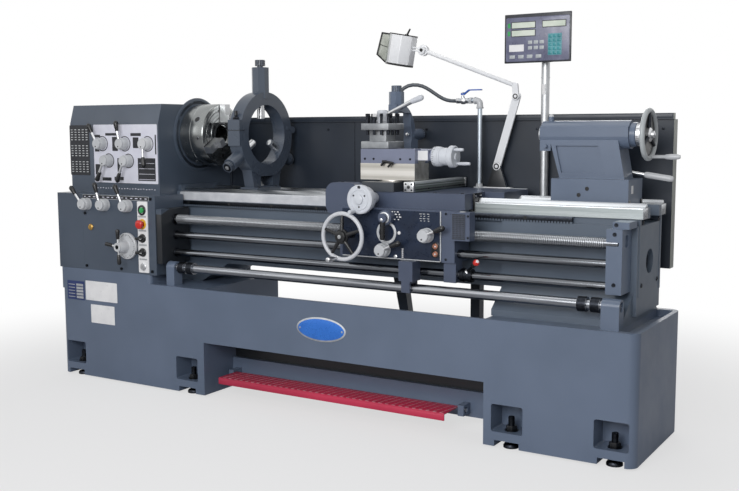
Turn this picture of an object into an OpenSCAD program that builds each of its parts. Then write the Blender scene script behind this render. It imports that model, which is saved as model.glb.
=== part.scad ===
// Engine lathe with a three-jaw chuck, steady and follow rests, a tailstock and a position readout.
// X runs along the bed towards the tailstock, Y runs away from the operator and Z is up.
// Places are measured from the middle of the base, its front face and the floor.

/* [Base] */
// Length of the cabinet base
base_l = 2850; // [2700:10:3000]
// Depth of the cabinet base
base_d = 560; // [540:5:620]
// Height of the base under the bed
base_h = 488; // [460:1:520]
// Extra height of the base under the gearbox
base_step = 43; // [30:1:60]
// Thickness of the base's walls
base_wall = 14; // [8:1:20]
// Radius of the base's upright corners
base_r = 38; // [20:1:45]
// Gap between the floor and the base
foot_gap = 8; // [4:1:15]
// Length of the left pedestal
left_ped = 904; // [880:2:940]
// Length of the right pedestal
right_ped = 579; // [560:1:600]
// Height of the opening above the treadle
kick_h = 248; // [230:1:270]
// Width of a levelling pocket
pocket_w = 127; // [110:1:140]
// Height of a levelling pocket
pocket_h = 106; // [95:1:115]
// Depth of a levelling pocket
pocket_d = 104; // [90:1:110]
// Height of the shelf under a levelling pocket
pocket_z = 64; // [55:1:75]
// Diameter of a levelling bolt
bolt_d = 24; // [16:1:30]

/* [Treadle] */
// Length of the brake treadle
treadle_l = 1130; // [1000:5:1150]
// Depth of the treadle plate
treadle_d = 130; // [110:1:140]
// Height of the treadle plate
treadle_z = 92; // [85:1:105]
// Thickness of the treadle plate
treadle_t = 4; // [3:0.5:6]
// Diameter of the treadle's shaft
treadle_shaft_d = 24; // [18:1:30]

/* [Bed] */
// Height of the flat ways above the floor
way_z = 905; // [890:1:920]
// Height of the ground face of the ways
way_h = 40; // [34:1:48]
// Width of each way
way_w = 92; // [84:1:98]
// Height of the bed casting
bed_h = 325; // [315:1:335]
// Thickness of the bed's long walls
bed_wall = 18; // [12:1:24]
// Height of the vee on each outer way
vee_h = 16; // [10:1:20]
// Length of the column under the bed's right end
column_l = 528; // [500:2:560]

/* [Headstock] */
// Height of the spindle above the ways
centre_h = 263; // [255:1:275]
// Width of the end gear cover
cover_l = 170; // [150:1:190]
// Length of the headstock
head_l = 420; // [400:1:440]
// Height of the top of the headstock
head_top = 1311; // [1300:1:1330]
// Thickness of the headstock's walls
head_wall = 26; // [20:1:32]
// Radius of the spindle bore
spindle_bore_r = 40; // [30:0.5:46]
// Radius of the spindle's bearings
bearing_r = 75; // [68:0.5:82]

/* [Gearbox] */
// Length of the feed gearbox
gear_l = 465; // [450:1:480]
// Depth of the feed gearbox
gear_d = 190; // [180:1:195]
// Thickness of the gearbox's walls
gear_wall = 14; // [10:1:20]
// Radius of a control shaft
control_r = 8; // [6:0.5:10]
// Radius of a lever's hub
hub_r = 28; // [24:0.5:32]

/* [Rods] */
// Radius of the leadscrew
leadscrew_r = 21; // [18:0.5:24]
// Radius of the feed and control rods
rod_r = 16.5; // [14:0.5:18]
// Radius of the stop rod
stop_r = 19; // [15:0.5:21]

/* [Carriage] */
// Length of the saddle
saddle_l = 730; // [710:2:760]
// Length of the apron
apron_l = 522; // [500:2:540]
// Height of the apron
apron_h = 200; // [190:1:206]
// Radius of the carriage handwheel
wheel_r = 100; // [90:1:108]
// Radius of the cross feed handwheel
cross_wheel_r = 58; // [50:1:64]
// Width of the cross slide
cross_w = 150; // [140:1:170]
// Length of the compound slide
compound_l = 256; // [240:2:270]
// Width of the compound slide
compound_w = 120; // [110:1:126]
// Size of the square toolpost
toolpost_w = 132; // [120:1:136]
// Height of the toolpost
toolpost_h = 104; // [96:1:110]

/* [Chuck] */
// Radius of the chuck
chuck_r = 144; // [130:1:150]
// Length of the chuck body
chuck_l = 138; // [120:1:145]
// Width of a chuck jaw
jaw_w = 34; // [28:1:38]

/* [Steady rest] */
// Outer radius of the steady rest's ring
steady_r = 194; // [188:1:200]
// Inner radius of the steady rest's ring
steady_in = 136; // [128:1:142]
// Thickness of the steady rest
steady_t = 66; // [58:1:70]

/* [Tailstock] */
// Length of the tailstock's barrel
barrel_l = 345; // [330:1:350]
// Radius of the tailstock's barrel
barrel_r = 53; // [50:1:57]
// Radius of the quill
quill_r = 35; // [28:0.5:38]
// Radius of the tailstock handwheel
tail_wheel_r = 98; // [92:1:104]

/* [Guard, lamp and readout] */
// Height of the top of the splash guard
guard_top = 1250; // [1235:1:1265]
// Thickness of the guard's sheet
guard_t = 3; // [2:0.5:4]
// Width of the readout display
display_w = 285; // [260:1:300]
// Height of the readout display
display_h = 196; // [180:1:210]
// Length of the lamp's lower arm
lamp_arm = 330; // [300:1:340]

/* [Fits] */
// Radial clearance of a shaft in its bearing
fit = 0.05; // [0.02:0.01:0.1]
// Gap between pieces that slide or swing past each other
gap = 0.4; // [0.3:0.1:0.6]

/* [Hidden] */
$fn = 48;

// The base's front face, set so that the whole machine is centred front to back.
front_y = -280;
// Half of what the tailstock's crank reaches past the base.
shift_x = -13;
left = -base_l / 2;
right = base_l / 2;
seam_x = left + cover_l;
head_x = seam_x + head_l;
gear_x = seam_x + gear_l;
step_z = base_h + base_step;
shelf_z = way_z - 12;
bed_y = 200;
bed_w = base_d - 260;
bed_back = bed_y + bed_w;
bed_z = way_z - bed_h;
bed_end = right - 53;
vee_front = bed_y + 40;
vee_back = bed_back - 40;
vee_w = 36;
spindle_y = bed_y + bed_w / 2 + 10;
spindle_z = way_z + centre_h;
rods_y = 100;
leadscrew_z = way_z - 120;
feed_z = way_z - 193;
control_z = way_z - 274;
stop_y = 48;
stop_z = base_h + 82;
kick_l = left + left_ped;
kick_r = right - right_ped;
rod_start = gear_x + 6;
rod_box = 33;
bracket_x = right - 147;
plinth_y = 80;
rack_y = bed_y - 12;

// Shared shapes

module place() translate([shift_x, front_y, 0]) children();

module block(lo, hi) translate(lo) cube([hi[0] - lo[0], hi[1] - lo[1], hi[2] - lo[2]]);

module rod_x(r, x0, x1, y, z) translate([x0, y, z]) rotate([0, 90, 0]) cylinder(r = r, h = x1 - x0);

module rod_y(r, y0, y1, x, z) translate([x, y1, z]) rotate([90, 0, 0]) cylinder(r = r, h = y1 - y0);

module rod_z(r, z0, z1, x, y) translate([x, y, z0]) cylinder(r = r, h = z1 - z0);

// An upright post of eight sides, w across its flats.
module post_8(w, z0, z1, x, y)
  translate([x, y, z0]) rotate(22.5) cylinder(r = w / 2 / cos(22.5), h = z1 - z0, $fn = 8);

// A rectangle with round corners, from two squares and four circles.
module round_rect(w, h, r) {
  translate([r, 0]) square([w - 2 * r, h]);
  translate([0, r]) square([w, h - 2 * r]);
  for (x = [r, w - r], y = [r, h - r]) translate([x, y]) circle(r);
}

// A block whose upright edges are round.
module soft_block(lo, hi, r)
  translate(lo) linear_extrude(hi[2] - lo[2]) round_rect(hi[0] - lo[0], hi[1] - lo[1], r);

// A plate facing the operator whose corners are round.
module front_plate(x0, x1, z0, z1, y0, y1, r)
  translate([x0, y1, z0]) rotate([90, 0, 0]) linear_extrude(y1 - y0) round_rect(x1 - x0, z1 - z0, r);

// A slab across the machine, drawn in Y and Z.
module slab_x(x0, x1, points)
  translate([x0, 0, 0]) rotate([90, 0, 90]) linear_extrude(x1 - x0) polygon(points);

// A slab front to back, drawn in X and Z.
module slab_y(y0, y1, points)
  translate([0, y1, 0]) rotate([90, 0, 0]) linear_extrude(y1 - y0) polygon(points);

// A lever that faces the operator: a domed hub on a shaft, a bent arm and a long grip.
module hub_lever(x, z, y, angle, reach, shaft) {
  translate([x, y, z]) rotate([0, -angle, 0]) {
    rod_y(hub_r, -34, -1, 0, 0);
    rod_y(hub_r - 7, -46, -34, 0, 0);
    rod_y(control_r, -1, shaft, 0, 0);
    translate([0, -40, 0]) rotate([0, 90, 0]) {
      cylinder(r = 6.5, h = reach - 44);
      translate([0, 0, reach - 44]) cylinder(r = 10.5, h = 46);
      translate([0, 0, reach + 2]) sphere(r = 10.5);
    }
  }
}

// A handwheel about Y: rim, hub, spokes and a crank handle at the front.
module spoked_wheel(r, rim, hub, spokes) {
  rotate([90, 0, 0]) rotate_extrude() translate([r - rim, 0]) circle(rim);
  for (i = [0:spokes - 1])
    rotate([0, i * 360 / spokes, 0]) rod_x(rim * 0.45, hub - 3, r - 1.6 * rim, 0, 0);
  rod_y(hub, -rim, rim, 0, 0);
}

// Base and what stands in it

pocket_xs = [left + 93, kick_l - 102, kick_r + 95, right - 87];

module foot_pocket(x) {
  front_plate(x - pocket_w / 2, x + pocket_w / 2, pocket_z, pocket_z + pocket_h, -1, pocket_d, 9);
  block([x - pocket_w / 2 + 14, -1, 0], [x + pocket_w / 2 - 14, pocket_d, 32]);
  rod_z(bolt_d / 2 + 1, 10, pocket_z + 2, x, pocket_d / 2 - 4);
}

// The hollow inside a pedestal, open to nothing but the belts' way up.
module pedestal_room(x0, x1, top)
  block([x0 + base_wall, base_wall, foot_gap + 22], [x1 - base_wall, base_d - base_wall, top]);

// The casting around a levelling pocket at the front (side 0) or the back (side 1).
module pocket_casing(x, side) {
  deep = pocket_d + base_wall;
  wide = pocket_w / 2 + base_wall;
  y = side * (base_d - deep);
  block([x - wide, y, 0], [x + wide, y + deep, pocket_z + pocket_h + base_wall]);
}

module base() color("#59647a") place() {
  difference() {
    union() {
      soft_block([left, 0, foot_gap], [right, base_d, base_h], base_r);
      soft_block([left, 0, base_h - 60], [gear_x - 42, base_d, step_z], base_r * 0.6);
    }
    // the treadle opening and the chip well between the pedestals
    block([kick_l, -1, 0], [kick_r, base_d + 1, kick_h]);
    block([kick_l, base_wall, kick_h + 12], [kick_r, base_d - base_wall, step_z + 1]);
    block([kick_l, base_d - base_wall - 1, kick_h + 90], [kick_r, base_d + 1, step_z + 1]);
    // hollow pedestals
    difference() {
      union() {
        pedestal_room(left, kick_l, base_h - 18);
        pedestal_room(kick_r, right, base_h - 46);
      }
      for (x = pocket_xs, side = [0, 1]) pocket_casing(x, side);
    }
    block([left + base_wall, base_wall, base_h - 19],
        [gear_x - 42 - base_wall, base_d - base_wall, step_z - base_wall]);
    // the way up for the belts
    block([left + base_wall + 6, pocket_d + 60, base_h - 19], [seam_x - 12, base_d - 60, step_z + 1]);
    // the sunken tray behind the rim of the right end
    soft_block([right - 82, 30, base_h - 28], [right - 18, base_d - 30, base_h + 1], 14);
    for (x = pocket_xs) {
      foot_pocket(x);
      translate([0, base_d, 0]) mirror([0, 1, 0]) foot_pocket(x);
    }
  }
  // the tie beam across the bottom, with the treadle's pivot blocks
  tie_y = treadle_pivot_y + 40;
  block([kick_l, tie_y, 40], [kick_r, tie_y + 20, 145]);
  for (x = treadle_blocks) difference() {
    block([x, treadle_pivot_y - 22, treadle_pivot_z - 22], [x + 26, tie_y, treadle_pivot_z + 22]);
    rod_x(treadle_shaft_d / 2 + fit, x - 1, x + 27, treadle_pivot_y, treadle_pivot_z);
  }
}

treadle_pivot_y = 34 + treadle_d;
treadle_pivot_z = treadle_z - 14;
treadle_x = kick_l + 56;
treadle_blocks = [treadle_x - 30, treadle_x + treadle_l + 4];

module treadle() color("#a5213c") place() {
  block([treadle_x, 30, treadle_z - treadle_t], [treadle_x + treadle_l, 30 + treadle_d, treadle_z]);
  block([treadle_x, 30, treadle_z - 36], [treadle_x + treadle_l, 30 + treadle_t, treadle_z - treadle_t]);
  difference() {
    rod_x(treadle_shaft_d / 2, treadle_blocks[0] - 8, treadle_blocks[1] + 34,
          treadle_pivot_y, treadle_pivot_z);
    block([treadle_x, 0, treadle_z - treadle_t], [treadle_x + treadle_l, 400, treadle_z + 40]);
  }
}

module levelling_feet() color("#1c1e22") place()
  for (x = pocket_xs, y = [pocket_d / 2 - 4, base_d - pocket_d / 2 + 4]) {
    rod_z(30, 0, 18, x, y);
    rod_z(bolt_d / 2, 18, pocket_z + 54, x, y);
    difference() {
      translate([x, y, pocket_z]) cylinder(d = bolt_d * 1.75, h = 20, $fn = 6);
      rod_z(bolt_d / 2, pocket_z - 1, pocket_z + 21, x, y);
    }
  }

// Bed

module bed() color("#66728a") place() {
  difference() {
    union() {
      // front and back ways with their vees
      for (y = [bed_y, bed_back - way_w])
        block([seam_x + 5, y, way_z - way_h], [bed_end, y + way_w, way_z]);
      for (y = [vee_front, vee_back])
        slab_x(head_x + 19, bed_end, [[y - vee_w / 2, way_z - 1], [y - vee_w / 2, way_z],
          [y, way_z + vee_h], [y + vee_w / 2, way_z], [y + vee_w / 2, way_z - 1]]);
      // long walls and the cross ribs between them
      for (y = [bed_y + 8, bed_back - bed_wall - 8])
        block([seam_x + 5, y, bed_z], [bed_end - 12, y + bed_wall, way_z - way_h]);
      for (x = [head_x + 40 : 210 : bed_end - 100])
        block([x, bed_y + 8, bed_z + 40], [x + 22, bed_back - 8, way_z - way_h]);
      // left foot under the headstock
      slab_y(bed_y + 8, bed_back - 8, [[gear_x - 40, base_h], [gear_x + 90, base_h],
        [gear_x + 250, bed_z + 1], [seam_x + 5, bed_z + 1], [seam_x + 5, step_z], [gear_x - 40, step_z]]);
      // column and plinth under the right end
      column_x = bed_end - 14 - column_l;
      block([column_x, bed_y - 10, base_h + 24], [bed_end - 14, bed_back - 8, way_z - way_h - 24]);
      slab_x(column_x + 8, bed_end - 27, [[plinth_y, base_h], [bed_back + 28, base_h],
        [bed_back - 8, base_h + 24], [bed_y - 10, base_h + 108], [plinth_y, base_h + 24]]);
    }
    // the column is hollow from behind, with a round hand hole in its end
    block([bed_end - column_l + 12, bed_y + 14, base_h + 40],
          [bed_end - 34, bed_back, way_z - way_h - 60]);
    rod_x(46, bed_end - 40, bed_end, spindle_y - 10, 700);
    // the foot is open between its walls
    block([seam_x + 30, bed_y + 30, base_h - 1], [gear_x + 60, bed_back - 30, bed_z - 20]);
  }
  // rack under the front way
  difference() {
    block([gear_x + 1, rack_y, way_z - way_h - 26], [bed_end - 260, bed_y + 8, way_z - way_h]);
    for (x = [gear_x + 35 : 240 : bed_end - 300]) rod_y(6, rack_y - 1, rack_y + 8, x, way_z - way_h - 12);
  }
}

// Headstock, gearbox and covers

head_y = 83;
head_back = bed_back + 92;
head_slope = 27;
// knuckles of the end cover's hinges, at the back of the seam
hinge_zs = [948, 1176];
knuckle_y = head_back + 9;

module knuckle(x0, x1, z, h, bore) difference() {
  union() {
    rod_z(6, z, z + h, seam_x, knuckle_y);
    block([x0, knuckle_y - 3, z], [x1, knuckle_y + 3, z + h]);
  }
  if (bore) rod_z(3 + fit, z - 1, z + h + 1, seam_x, knuckle_y);
}

head_profile = [[head_y, shelf_z], [head_y, head_top - 89], [head_y + head_slope, head_top],
  [head_back - 30, head_top], [head_back, head_top - 30], [head_back, shelf_z]];

module headstock() color("#4b5466") place() {
  headstock_case();
  for (z = hinge_zs) {
    knuckle(seam_x + 2, seam_x + 26, z + 24 + gap, 24 - 2 * gap, false);
    block([seam_x + 14, head_back - 1, z + 24 + gap], [seam_x + 26, knuckle_y, z + 48 - gap]);
    rod_z(3, z - 4, z + 78, seam_x, knuckle_y);
  }
}

module headstock_case() difference() {
  union() {
    slab_x(seam_x, head_x, head_profile);
    rod_x(168, head_x - 1, head_x + 6, spindle_y, spindle_z);
    // spindle shelf above the front way
    block([head_x - 1, bed_y + 10, way_z + gap], [head_x + 18, bed_back - 10, way_z + 30]);
  }
  // room for the bed below and for the gears inside
  block([seam_x - 1, bed_y - 1, shelf_z - 1], [head_x + 20, bed_back + 1, way_z]);
  block([seam_x + head_wall, head_y + head_wall, way_z + 24],
        [head_x - head_wall, head_back - head_wall, head_top - head_wall]);
  rod_x(bearing_r + fit, seam_x - 1, head_x + 7, spindle_y, spindle_z);
  for (p = speed_hubs) rod_y(control_r + fit, head_y - 1, head_y + head_wall + 1, p[0], p[1]);
}

gear_top = shelf_z;

module gearbox() color("#4b5466") place() {
  difference() {
    block([seam_x, 0, step_z], [gear_x, gear_d, gear_top]);
    block([seam_x - 1, gear_wall, step_z + gear_wall],
          [gear_x - gear_wall, gear_d - gear_wall, gear_top - gear_wall]);
    for (p = feed_hubs) rod_y(control_r + fit, -1, gear_wall + 1, p[0], p[1]);
    rod_y(control_r + fit, -1, gear_wall + 1, dial_x, dial_z);
    // room behind the two push buttons
    for (i = [0, 1]) rod_y(13 + gap, -1, gear_wall - 5, strip_x + 30, strip_zs[i]);
  }
  // dark casing that the rods come out of
  difference() {
    block([gear_x, 4, base_h + 98], [gear_x + rod_box, gear_d, way_z - way_h - 30]);
    rod_x(leadscrew_r + fit, gear_x + 5, gear_x + 40, rods_y, leadscrew_z);
    for (z = [feed_z, control_z]) rod_x(rod_r + fit, gear_x + 5, gear_x + 40, rods_y, z);
  }
}

module end_gear_cover() color("#48515f") place() {
  cover_shell();
  for (z = hinge_zs, low = [0, 48]) {
    knuckle(seam_x - 26, seam_x - 2, z + low, 24, true);
    block([seam_x - 26, head_back - 1, z + low], [seam_x - 14, knuckle_y, z + low + 24]);
  }
}

module cover_shell() difference() {
  union() {
    block([left, 0, step_z + gap], [seam_x - gap, head_back, gear_top]);
    slab_x(left + 14, seam_x - gap, [[head_y, gear_top - 1], [head_y, head_top - 89],
      [head_y + head_slope, head_top], [head_back, head_top], [head_back, gear_top - 1]]);
  }
  block([left + 6, 6, step_z - 1], [seam_x + 1, head_back - 6, gear_top - 8]);
  slab_x(left + 20, seam_x + 1, [[head_y + 6, gear_top - 9], [head_y + 6, head_top - 92],
    [head_y + head_slope + 6, head_top - 6], [head_back - 6, head_top - 6], [head_back - 6, gear_top - 9]]);
}

// Control strip with its two selector knobs and pilot lamp.
strip_x = gear_x - 106;
strip_zs = [828, 764, 699, 634, 568];

module control_panel() color("#e8ebee") place() {
  difference() {
    front_plate(strip_x, strip_x + 62, 540, 868, -5, 0, 5);
    rod_y(13 + gap, -6, 1, strip_x + 30, strip_zs[0]);
    rod_y(13 + gap, -6, 1, strip_x + 30, strip_zs[1]);
  }
  for (z = [strip_zs[2], strip_zs[3]]) {
    rod_y(19, -11, -5, strip_x + 30, z);
    rod_y(14, -22, -11, strip_x + 30, z);
    front_plate(strip_x + 8, strip_x + 52, z - 6, z + 6, -36, -22, 5);
  }
  rod_y(17, -13, -5, strip_x + 30, strip_zs[4]);
}

module start_button() color("#1f8a5b") place() {
  rod_y(13, -12, -1, strip_x + 30, strip_zs[0]);
}

module stop_button() color("#d8232a") place() {
  rod_y(13, -12, -1, strip_x + 30, strip_zs[1]);
  rod_y(21, -36, -24, strip_x + 30, strip_zs[1]);
  rod_y(15, -24, -12, strip_x + 30, strip_zs[1]);
}

// Headstock levers, gearbox levers and the feed dial

speed_hubs = [[head_x - 358, 1128], [head_x - 211, 1128], [head_x - 66, 1128],
              [head_x - 318, 1048], [head_x - 190, 1048]];
speed_angles = [120, 100, -86, -116, -113];

module speed_lever(i) color("#c9ccd2") place()
  hub_lever(speed_hubs[i][0], speed_hubs[i][1], head_y, speed_angles[i], 104, head_wall + 14);

feed_hubs = [[gear_x - 430, 845], [gear_x - 311, 845], [gear_x - 165, 845]];
feed_angles = [130, 106, 115];

module feed_lever(i) color("#c9ccd2") place()
  hub_lever(feed_hubs[i][0], feed_hubs[i][1], 0, feed_angles[i], 104, gear_wall + 14);

dial_x = gear_x - 172;
dial_z = 659;

module feed_dial() color("#cfd2d6") place() translate([dial_x, 0, dial_z]) {
  rod_y(61, -17, -1, 0, 0);
  rod_y(26, -44, -17, 0, 0);
  rod_y(19, -74, -44, 0, 0);
  rod_y(control_r, -1, gear_wall + 14, 0, 0);
  for (a = [60, 180, 300]) translate([0, -64, 0]) rotate([0, a, 0]) {
    rod_x(6, 12, 40, 0, 0);
    rod_x(9.5, 40, 82, 0, 0);
  }
}

// Rods along the front of the bed

rod_end = bracket_x + 42;

module leadscrew() color("#c3c6c8") place()
  rod_x(leadscrew_r, rod_start, rod_end, rods_y, leadscrew_z);

module feed_rod() color("#c3c6c8") place()
  rod_x(rod_r, rod_start, rod_end, rods_y, feed_z);

module control_rod() color("#c3c6c8") place()
  rod_x(rod_r, rod_start, rod_end, rods_y, control_z);

stop_l = gear_x + 39;
stop_r_x = right - 142;

module stop_rod() color("#b9bcbf") place() {
  rod_x(stop_r, stop_l + 4, stop_r_x + 60, stop_y, stop_z);
  for (x = [stop_l + 63, stop_l + 112, stop_r_x - 91, stop_r_x - 42]) difference() {
    rod_x(stop_r + 8, x, x + 34, stop_y, stop_z);
    rod_x(stop_r, x - 1, x + 35, stop_y, stop_z);
  }
}

module stop_bracket(x, w) difference() {
  union() {
    block([x, stop_y - 27, base_h], [x + w, stop_y + 27, stop_z]);
    rod_x(27, x, x + w, stop_y, stop_z);
  }
  rod_x(stop_r + fit, x - 1, x + w + 1, stop_y, stop_z);
}

module rod_brackets() color("#66728a") place() {
  stop_bracket(stop_l, 47);
  stop_bracket(stop_r_x, 66);
  difference() {
    union() {
      block([bracket_x, 80, control_z - 26], [bracket_x + 58, bed_y - 10, leadscrew_z + 53]);
      block([bracket_x + 17, 96, leadscrew_z + 53], [bracket_x + 77, bed_y - 10, leadscrew_z + 78]);
    }
    rod_x(leadscrew_r + fit, bracket_x - 1, bracket_x + 45, rods_y, leadscrew_z);
    for (z = [feed_z, control_z]) rod_x(rod_r + fit, bracket_x - 1, bracket_x + 45, rods_y, z);
    rod_x(23, bracket_x + 50, bracket_x + 59, rods_y + 34, leadscrew_z + 8);
  }
}

// Splash guard behind the machine

guard_y = base_d + 44;
guard_l = head_x + 8;
guard_r = right - 58;
guard_z = bed_z + 60;

module splash_guard() color("#39414f") place() {
  block([guard_l, guard_y, guard_z], [guard_r, guard_y + guard_t, guard_top - 24]);
  block([guard_l, guard_y - 12, guard_top - 24], [guard_r, guard_y + 14, guard_top]);
  slab_x(guard_r - guard_t, guard_r, [[guard_y + guard_t, guard_z], [guard_y + guard_t, guard_top - 24],
    [guard_y + 50, guard_top - 24], [guard_y + 50, guard_top - 420], [guard_y + 16, guard_z]]);
  // straps from the back of the base up to the sheet
  slab_y(base_d, guard_y, [[100, guard_z + 40], [165, guard_z + 40], [222, 300], [180, 300]]);
  for (x = [522, guard_l + 60, guard_r - 120]) block([x, base_d, 300], [x + 43, guard_y, guard_z + 60]);
}

// Main motor with its pulley and belts, in the left pedestal

motor_x = seam_x + 30;
motor_y = base_d / 2;
motor_z = 190;
pulley_x = left + 42;
pulley_w = 52;
motor_pulley_r = 62;
spindle_pulley_r = 105;

// The outline of a belt around both pulleys, grow outside their rims; its straight runs lie a
// little inside the arcs, so that they cross them.
module belt_outline(grow) {
  low = [motor_y, motor_z];
  high = [spindle_y, spindle_z];
  run = high - low;
  lead = atan2(run[1], run[0]);
  side = acos((motor_pulley_r - spindle_pulley_r) / norm(run));
  tangents = [for (s = [-1, 1]) [cos(lead + s * side), sin(lead + s * side)]];
  translate(low) circle(motor_pulley_r + grow);
  translate(high) circle(spindle_pulley_r + grow);
  r1 = motor_pulley_r + grow - 0.3;
  r2 = spindle_pulley_r + grow - 0.3;
  polygon([low + r1 * tangents[0], high + r2 * tangents[0], high + r2 * tangents[1], low + r1 * tangents[1]]);
}

module main_motor() color("#3f4652") place() {
  rod_x(118, motor_x, motor_x + 330, motor_y, motor_z);
  block([motor_x + 40, motor_y - 120, foot_gap + 22], [motor_x + 290, motor_y + 120, motor_z - 117]);
  rod_x(19, pulley_x + pulley_w, motor_x, motor_y, motor_z);
  rod_x(motor_pulley_r, pulley_x, pulley_x + pulley_w, motor_y, motor_z);
  for (i = [0:2]) translate([pulley_x + 3 + i * 17, 0, 0]) rotate([90, 0, 90]) linear_extrude(12)
    difference() {
      belt_outline(9);
      belt_outline(0.8);
    }
}

// Spindle and chuck

chuck_x = head_x + 9;
chuck_face = chuck_x + chuck_l;

module spindle() color("#b4b7b9") place() difference() {
  union() {
    rod_x(58, left + 28, chuck_x, spindle_y, spindle_z);
    rod_x(spindle_pulley_r, pulley_x, pulley_x + pulley_w, spindle_y, spindle_z);
    for (x = [seam_x + 2, head_x - head_wall]) rod_x(bearing_r, x, x + head_wall, spindle_y, spindle_z);
    rod_x(102, seam_x + 150, seam_x + 196, spindle_y, spindle_z);
    rod_x(86, seam_x + 240, seam_x + 280, spindle_y, spindle_z);
  }
  rod_x(spindle_bore_r, left + 27, chuck_x + 1, spindle_y, spindle_z);
}

// Places its children on the spindle's axis at the chuck's face, turned about X.
module at_face(angle)
  translate([chuck_face, spindle_y, spindle_z]) rotate([angle, 0, 0]) children();

module chuck_body() color("#c9cbca") place() difference() {
  union() {
    rod_x(chuck_r, chuck_x + 18, chuck_face, spindle_y, spindle_z);
    rod_x(chuck_r - 5, chuck_x, chuck_x + 18, spindle_y, spindle_z);
  }
  rod_x(spindle_bore_r + 3, chuck_x - 1, chuck_face + 1, spindle_y, spindle_z);
  for (a = [0, 120, 240]) {
    at_face(a) block([-40, -jaw_w / 2 - gap, 24], [1, jaw_w / 2 + gap, chuck_r + 5]);
    at_face(a + 60) rod_z(9, chuck_r - 24, chuck_r + 5, -74, 0);
  }
}

module chuck_jaw(i) color("#d6d8d6") place() at_face((i - 1) * 120) {
  block([-40 + gap, -jaw_w / 2, 52], [3, jaw_w / 2, chuck_r - 2]);
  block([3, -jaw_w / 2, 58], [57, jaw_w / 2, 92]);
  block([3, -jaw_w / 2, 92], [36, jaw_w / 2, chuck_r - 2]);
}

// Carriage

saddle_x = 60;
saddle_end = saddle_x + saddle_l;
wing_cut = 85;
saddle_front = 120;
saddle_back = bed_back + 42;
saddle_top = way_z + 36;
apron_x = saddle_x + 110;
apron_end = apron_x + apron_l;
apron_y = 60;
apron_top = way_z - 26;
apron_z = apron_top - apron_h;
slide_x = saddle_x + 258;
ridge_w = 90;
cross_back = spindle_y + 84;

// Dovetail on the saddle; grow makes the matching groove.
module ridge(start, grow)
  slab_y(start, cross_back + 12 + grow, [
    [slide_x - ridge_w / 2 + 6 - grow, saddle_top - 1],
        [slide_x - ridge_w / 2 - grow, saddle_top + 12 + grow],
    [slide_x + ridge_w / 2 + grow, saddle_top + 12 + grow],
    [slide_x + ridge_w / 2 - 6 + grow, saddle_top - 1]]);

module saddle() color("#5b667c") place() {
  difference() {
    union() {
      block([saddle_x, saddle_front + 20, way_z + gap], [saddle_end, saddle_back, saddle_top]);
      block([saddle_x + 162, saddle_front, apron_top], [saddle_end, bed_y - 1, saddle_top]);
      front_plate(saddle_x, saddle_x + 162, way_z - 68, way_z + 68, saddle_front, rack_y - 2, 44);
      block([saddle_x, bed_back + gap, way_z - way_h], [saddle_end, saddle_back, way_z + gap]);
      ridge(saddle_front + 30, 0);
    }
    for (y = [vee_front, vee_back])
      slab_x(saddle_x - 1, saddle_end + 1, [[y - vee_w / 2 - gap, way_z], [y - vee_w / 2 - gap, way_z + gap],
        [y, way_z + vee_h + 2 * gap], [y + vee_w / 2 + gap, way_z + gap], [y + vee_w / 2 + gap, way_z]]);
    rod_y(12 + fit, saddle_front - 1, saddle_front + 70, cross_wheel_x, cross_wheel_z);
    // the front wing stops short of the end, over the front way only
    block([saddle_end - wing_cut, saddle_front - 1, apron_top - 1],
          [saddle_end + 1, spindle_y - 60, saddle_top + 1]);
    // the apron bolts up into this corner
    block([apron_x - gap, apron_y, apron_z], [apron_end, bed_y, apron_top]);
  }
  // bracket for the lamp and the pad under the coolant pipe
  block([pipe_x - 26, saddle_back, saddle_top - 16], [lamp_x + 46, saddle_back + 46, saddle_top]);
  slab_y(lamp_y - 4, lamp_y + 4, [[lamp_x - 46, saddle_top], [lamp_x + 46, saddle_top],
    [lamp_x + 16, lamp_z - 8], [lamp_x - 16, lamp_z - 8]]);
  rod_y(17, lamp_y - 4, lamp_y + 4, lamp_x, lamp_z);
}

pipe_x = slide_x + 243;
pipe_y = saddle_back + 14;
lamp_x = pipe_x + 77;
lamp_y = saddle_back + 33;
lamp_z = way_z + 128;
cross_wheel_x = saddle_x + 237;
cross_wheel_z = way_z + 10;

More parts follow.
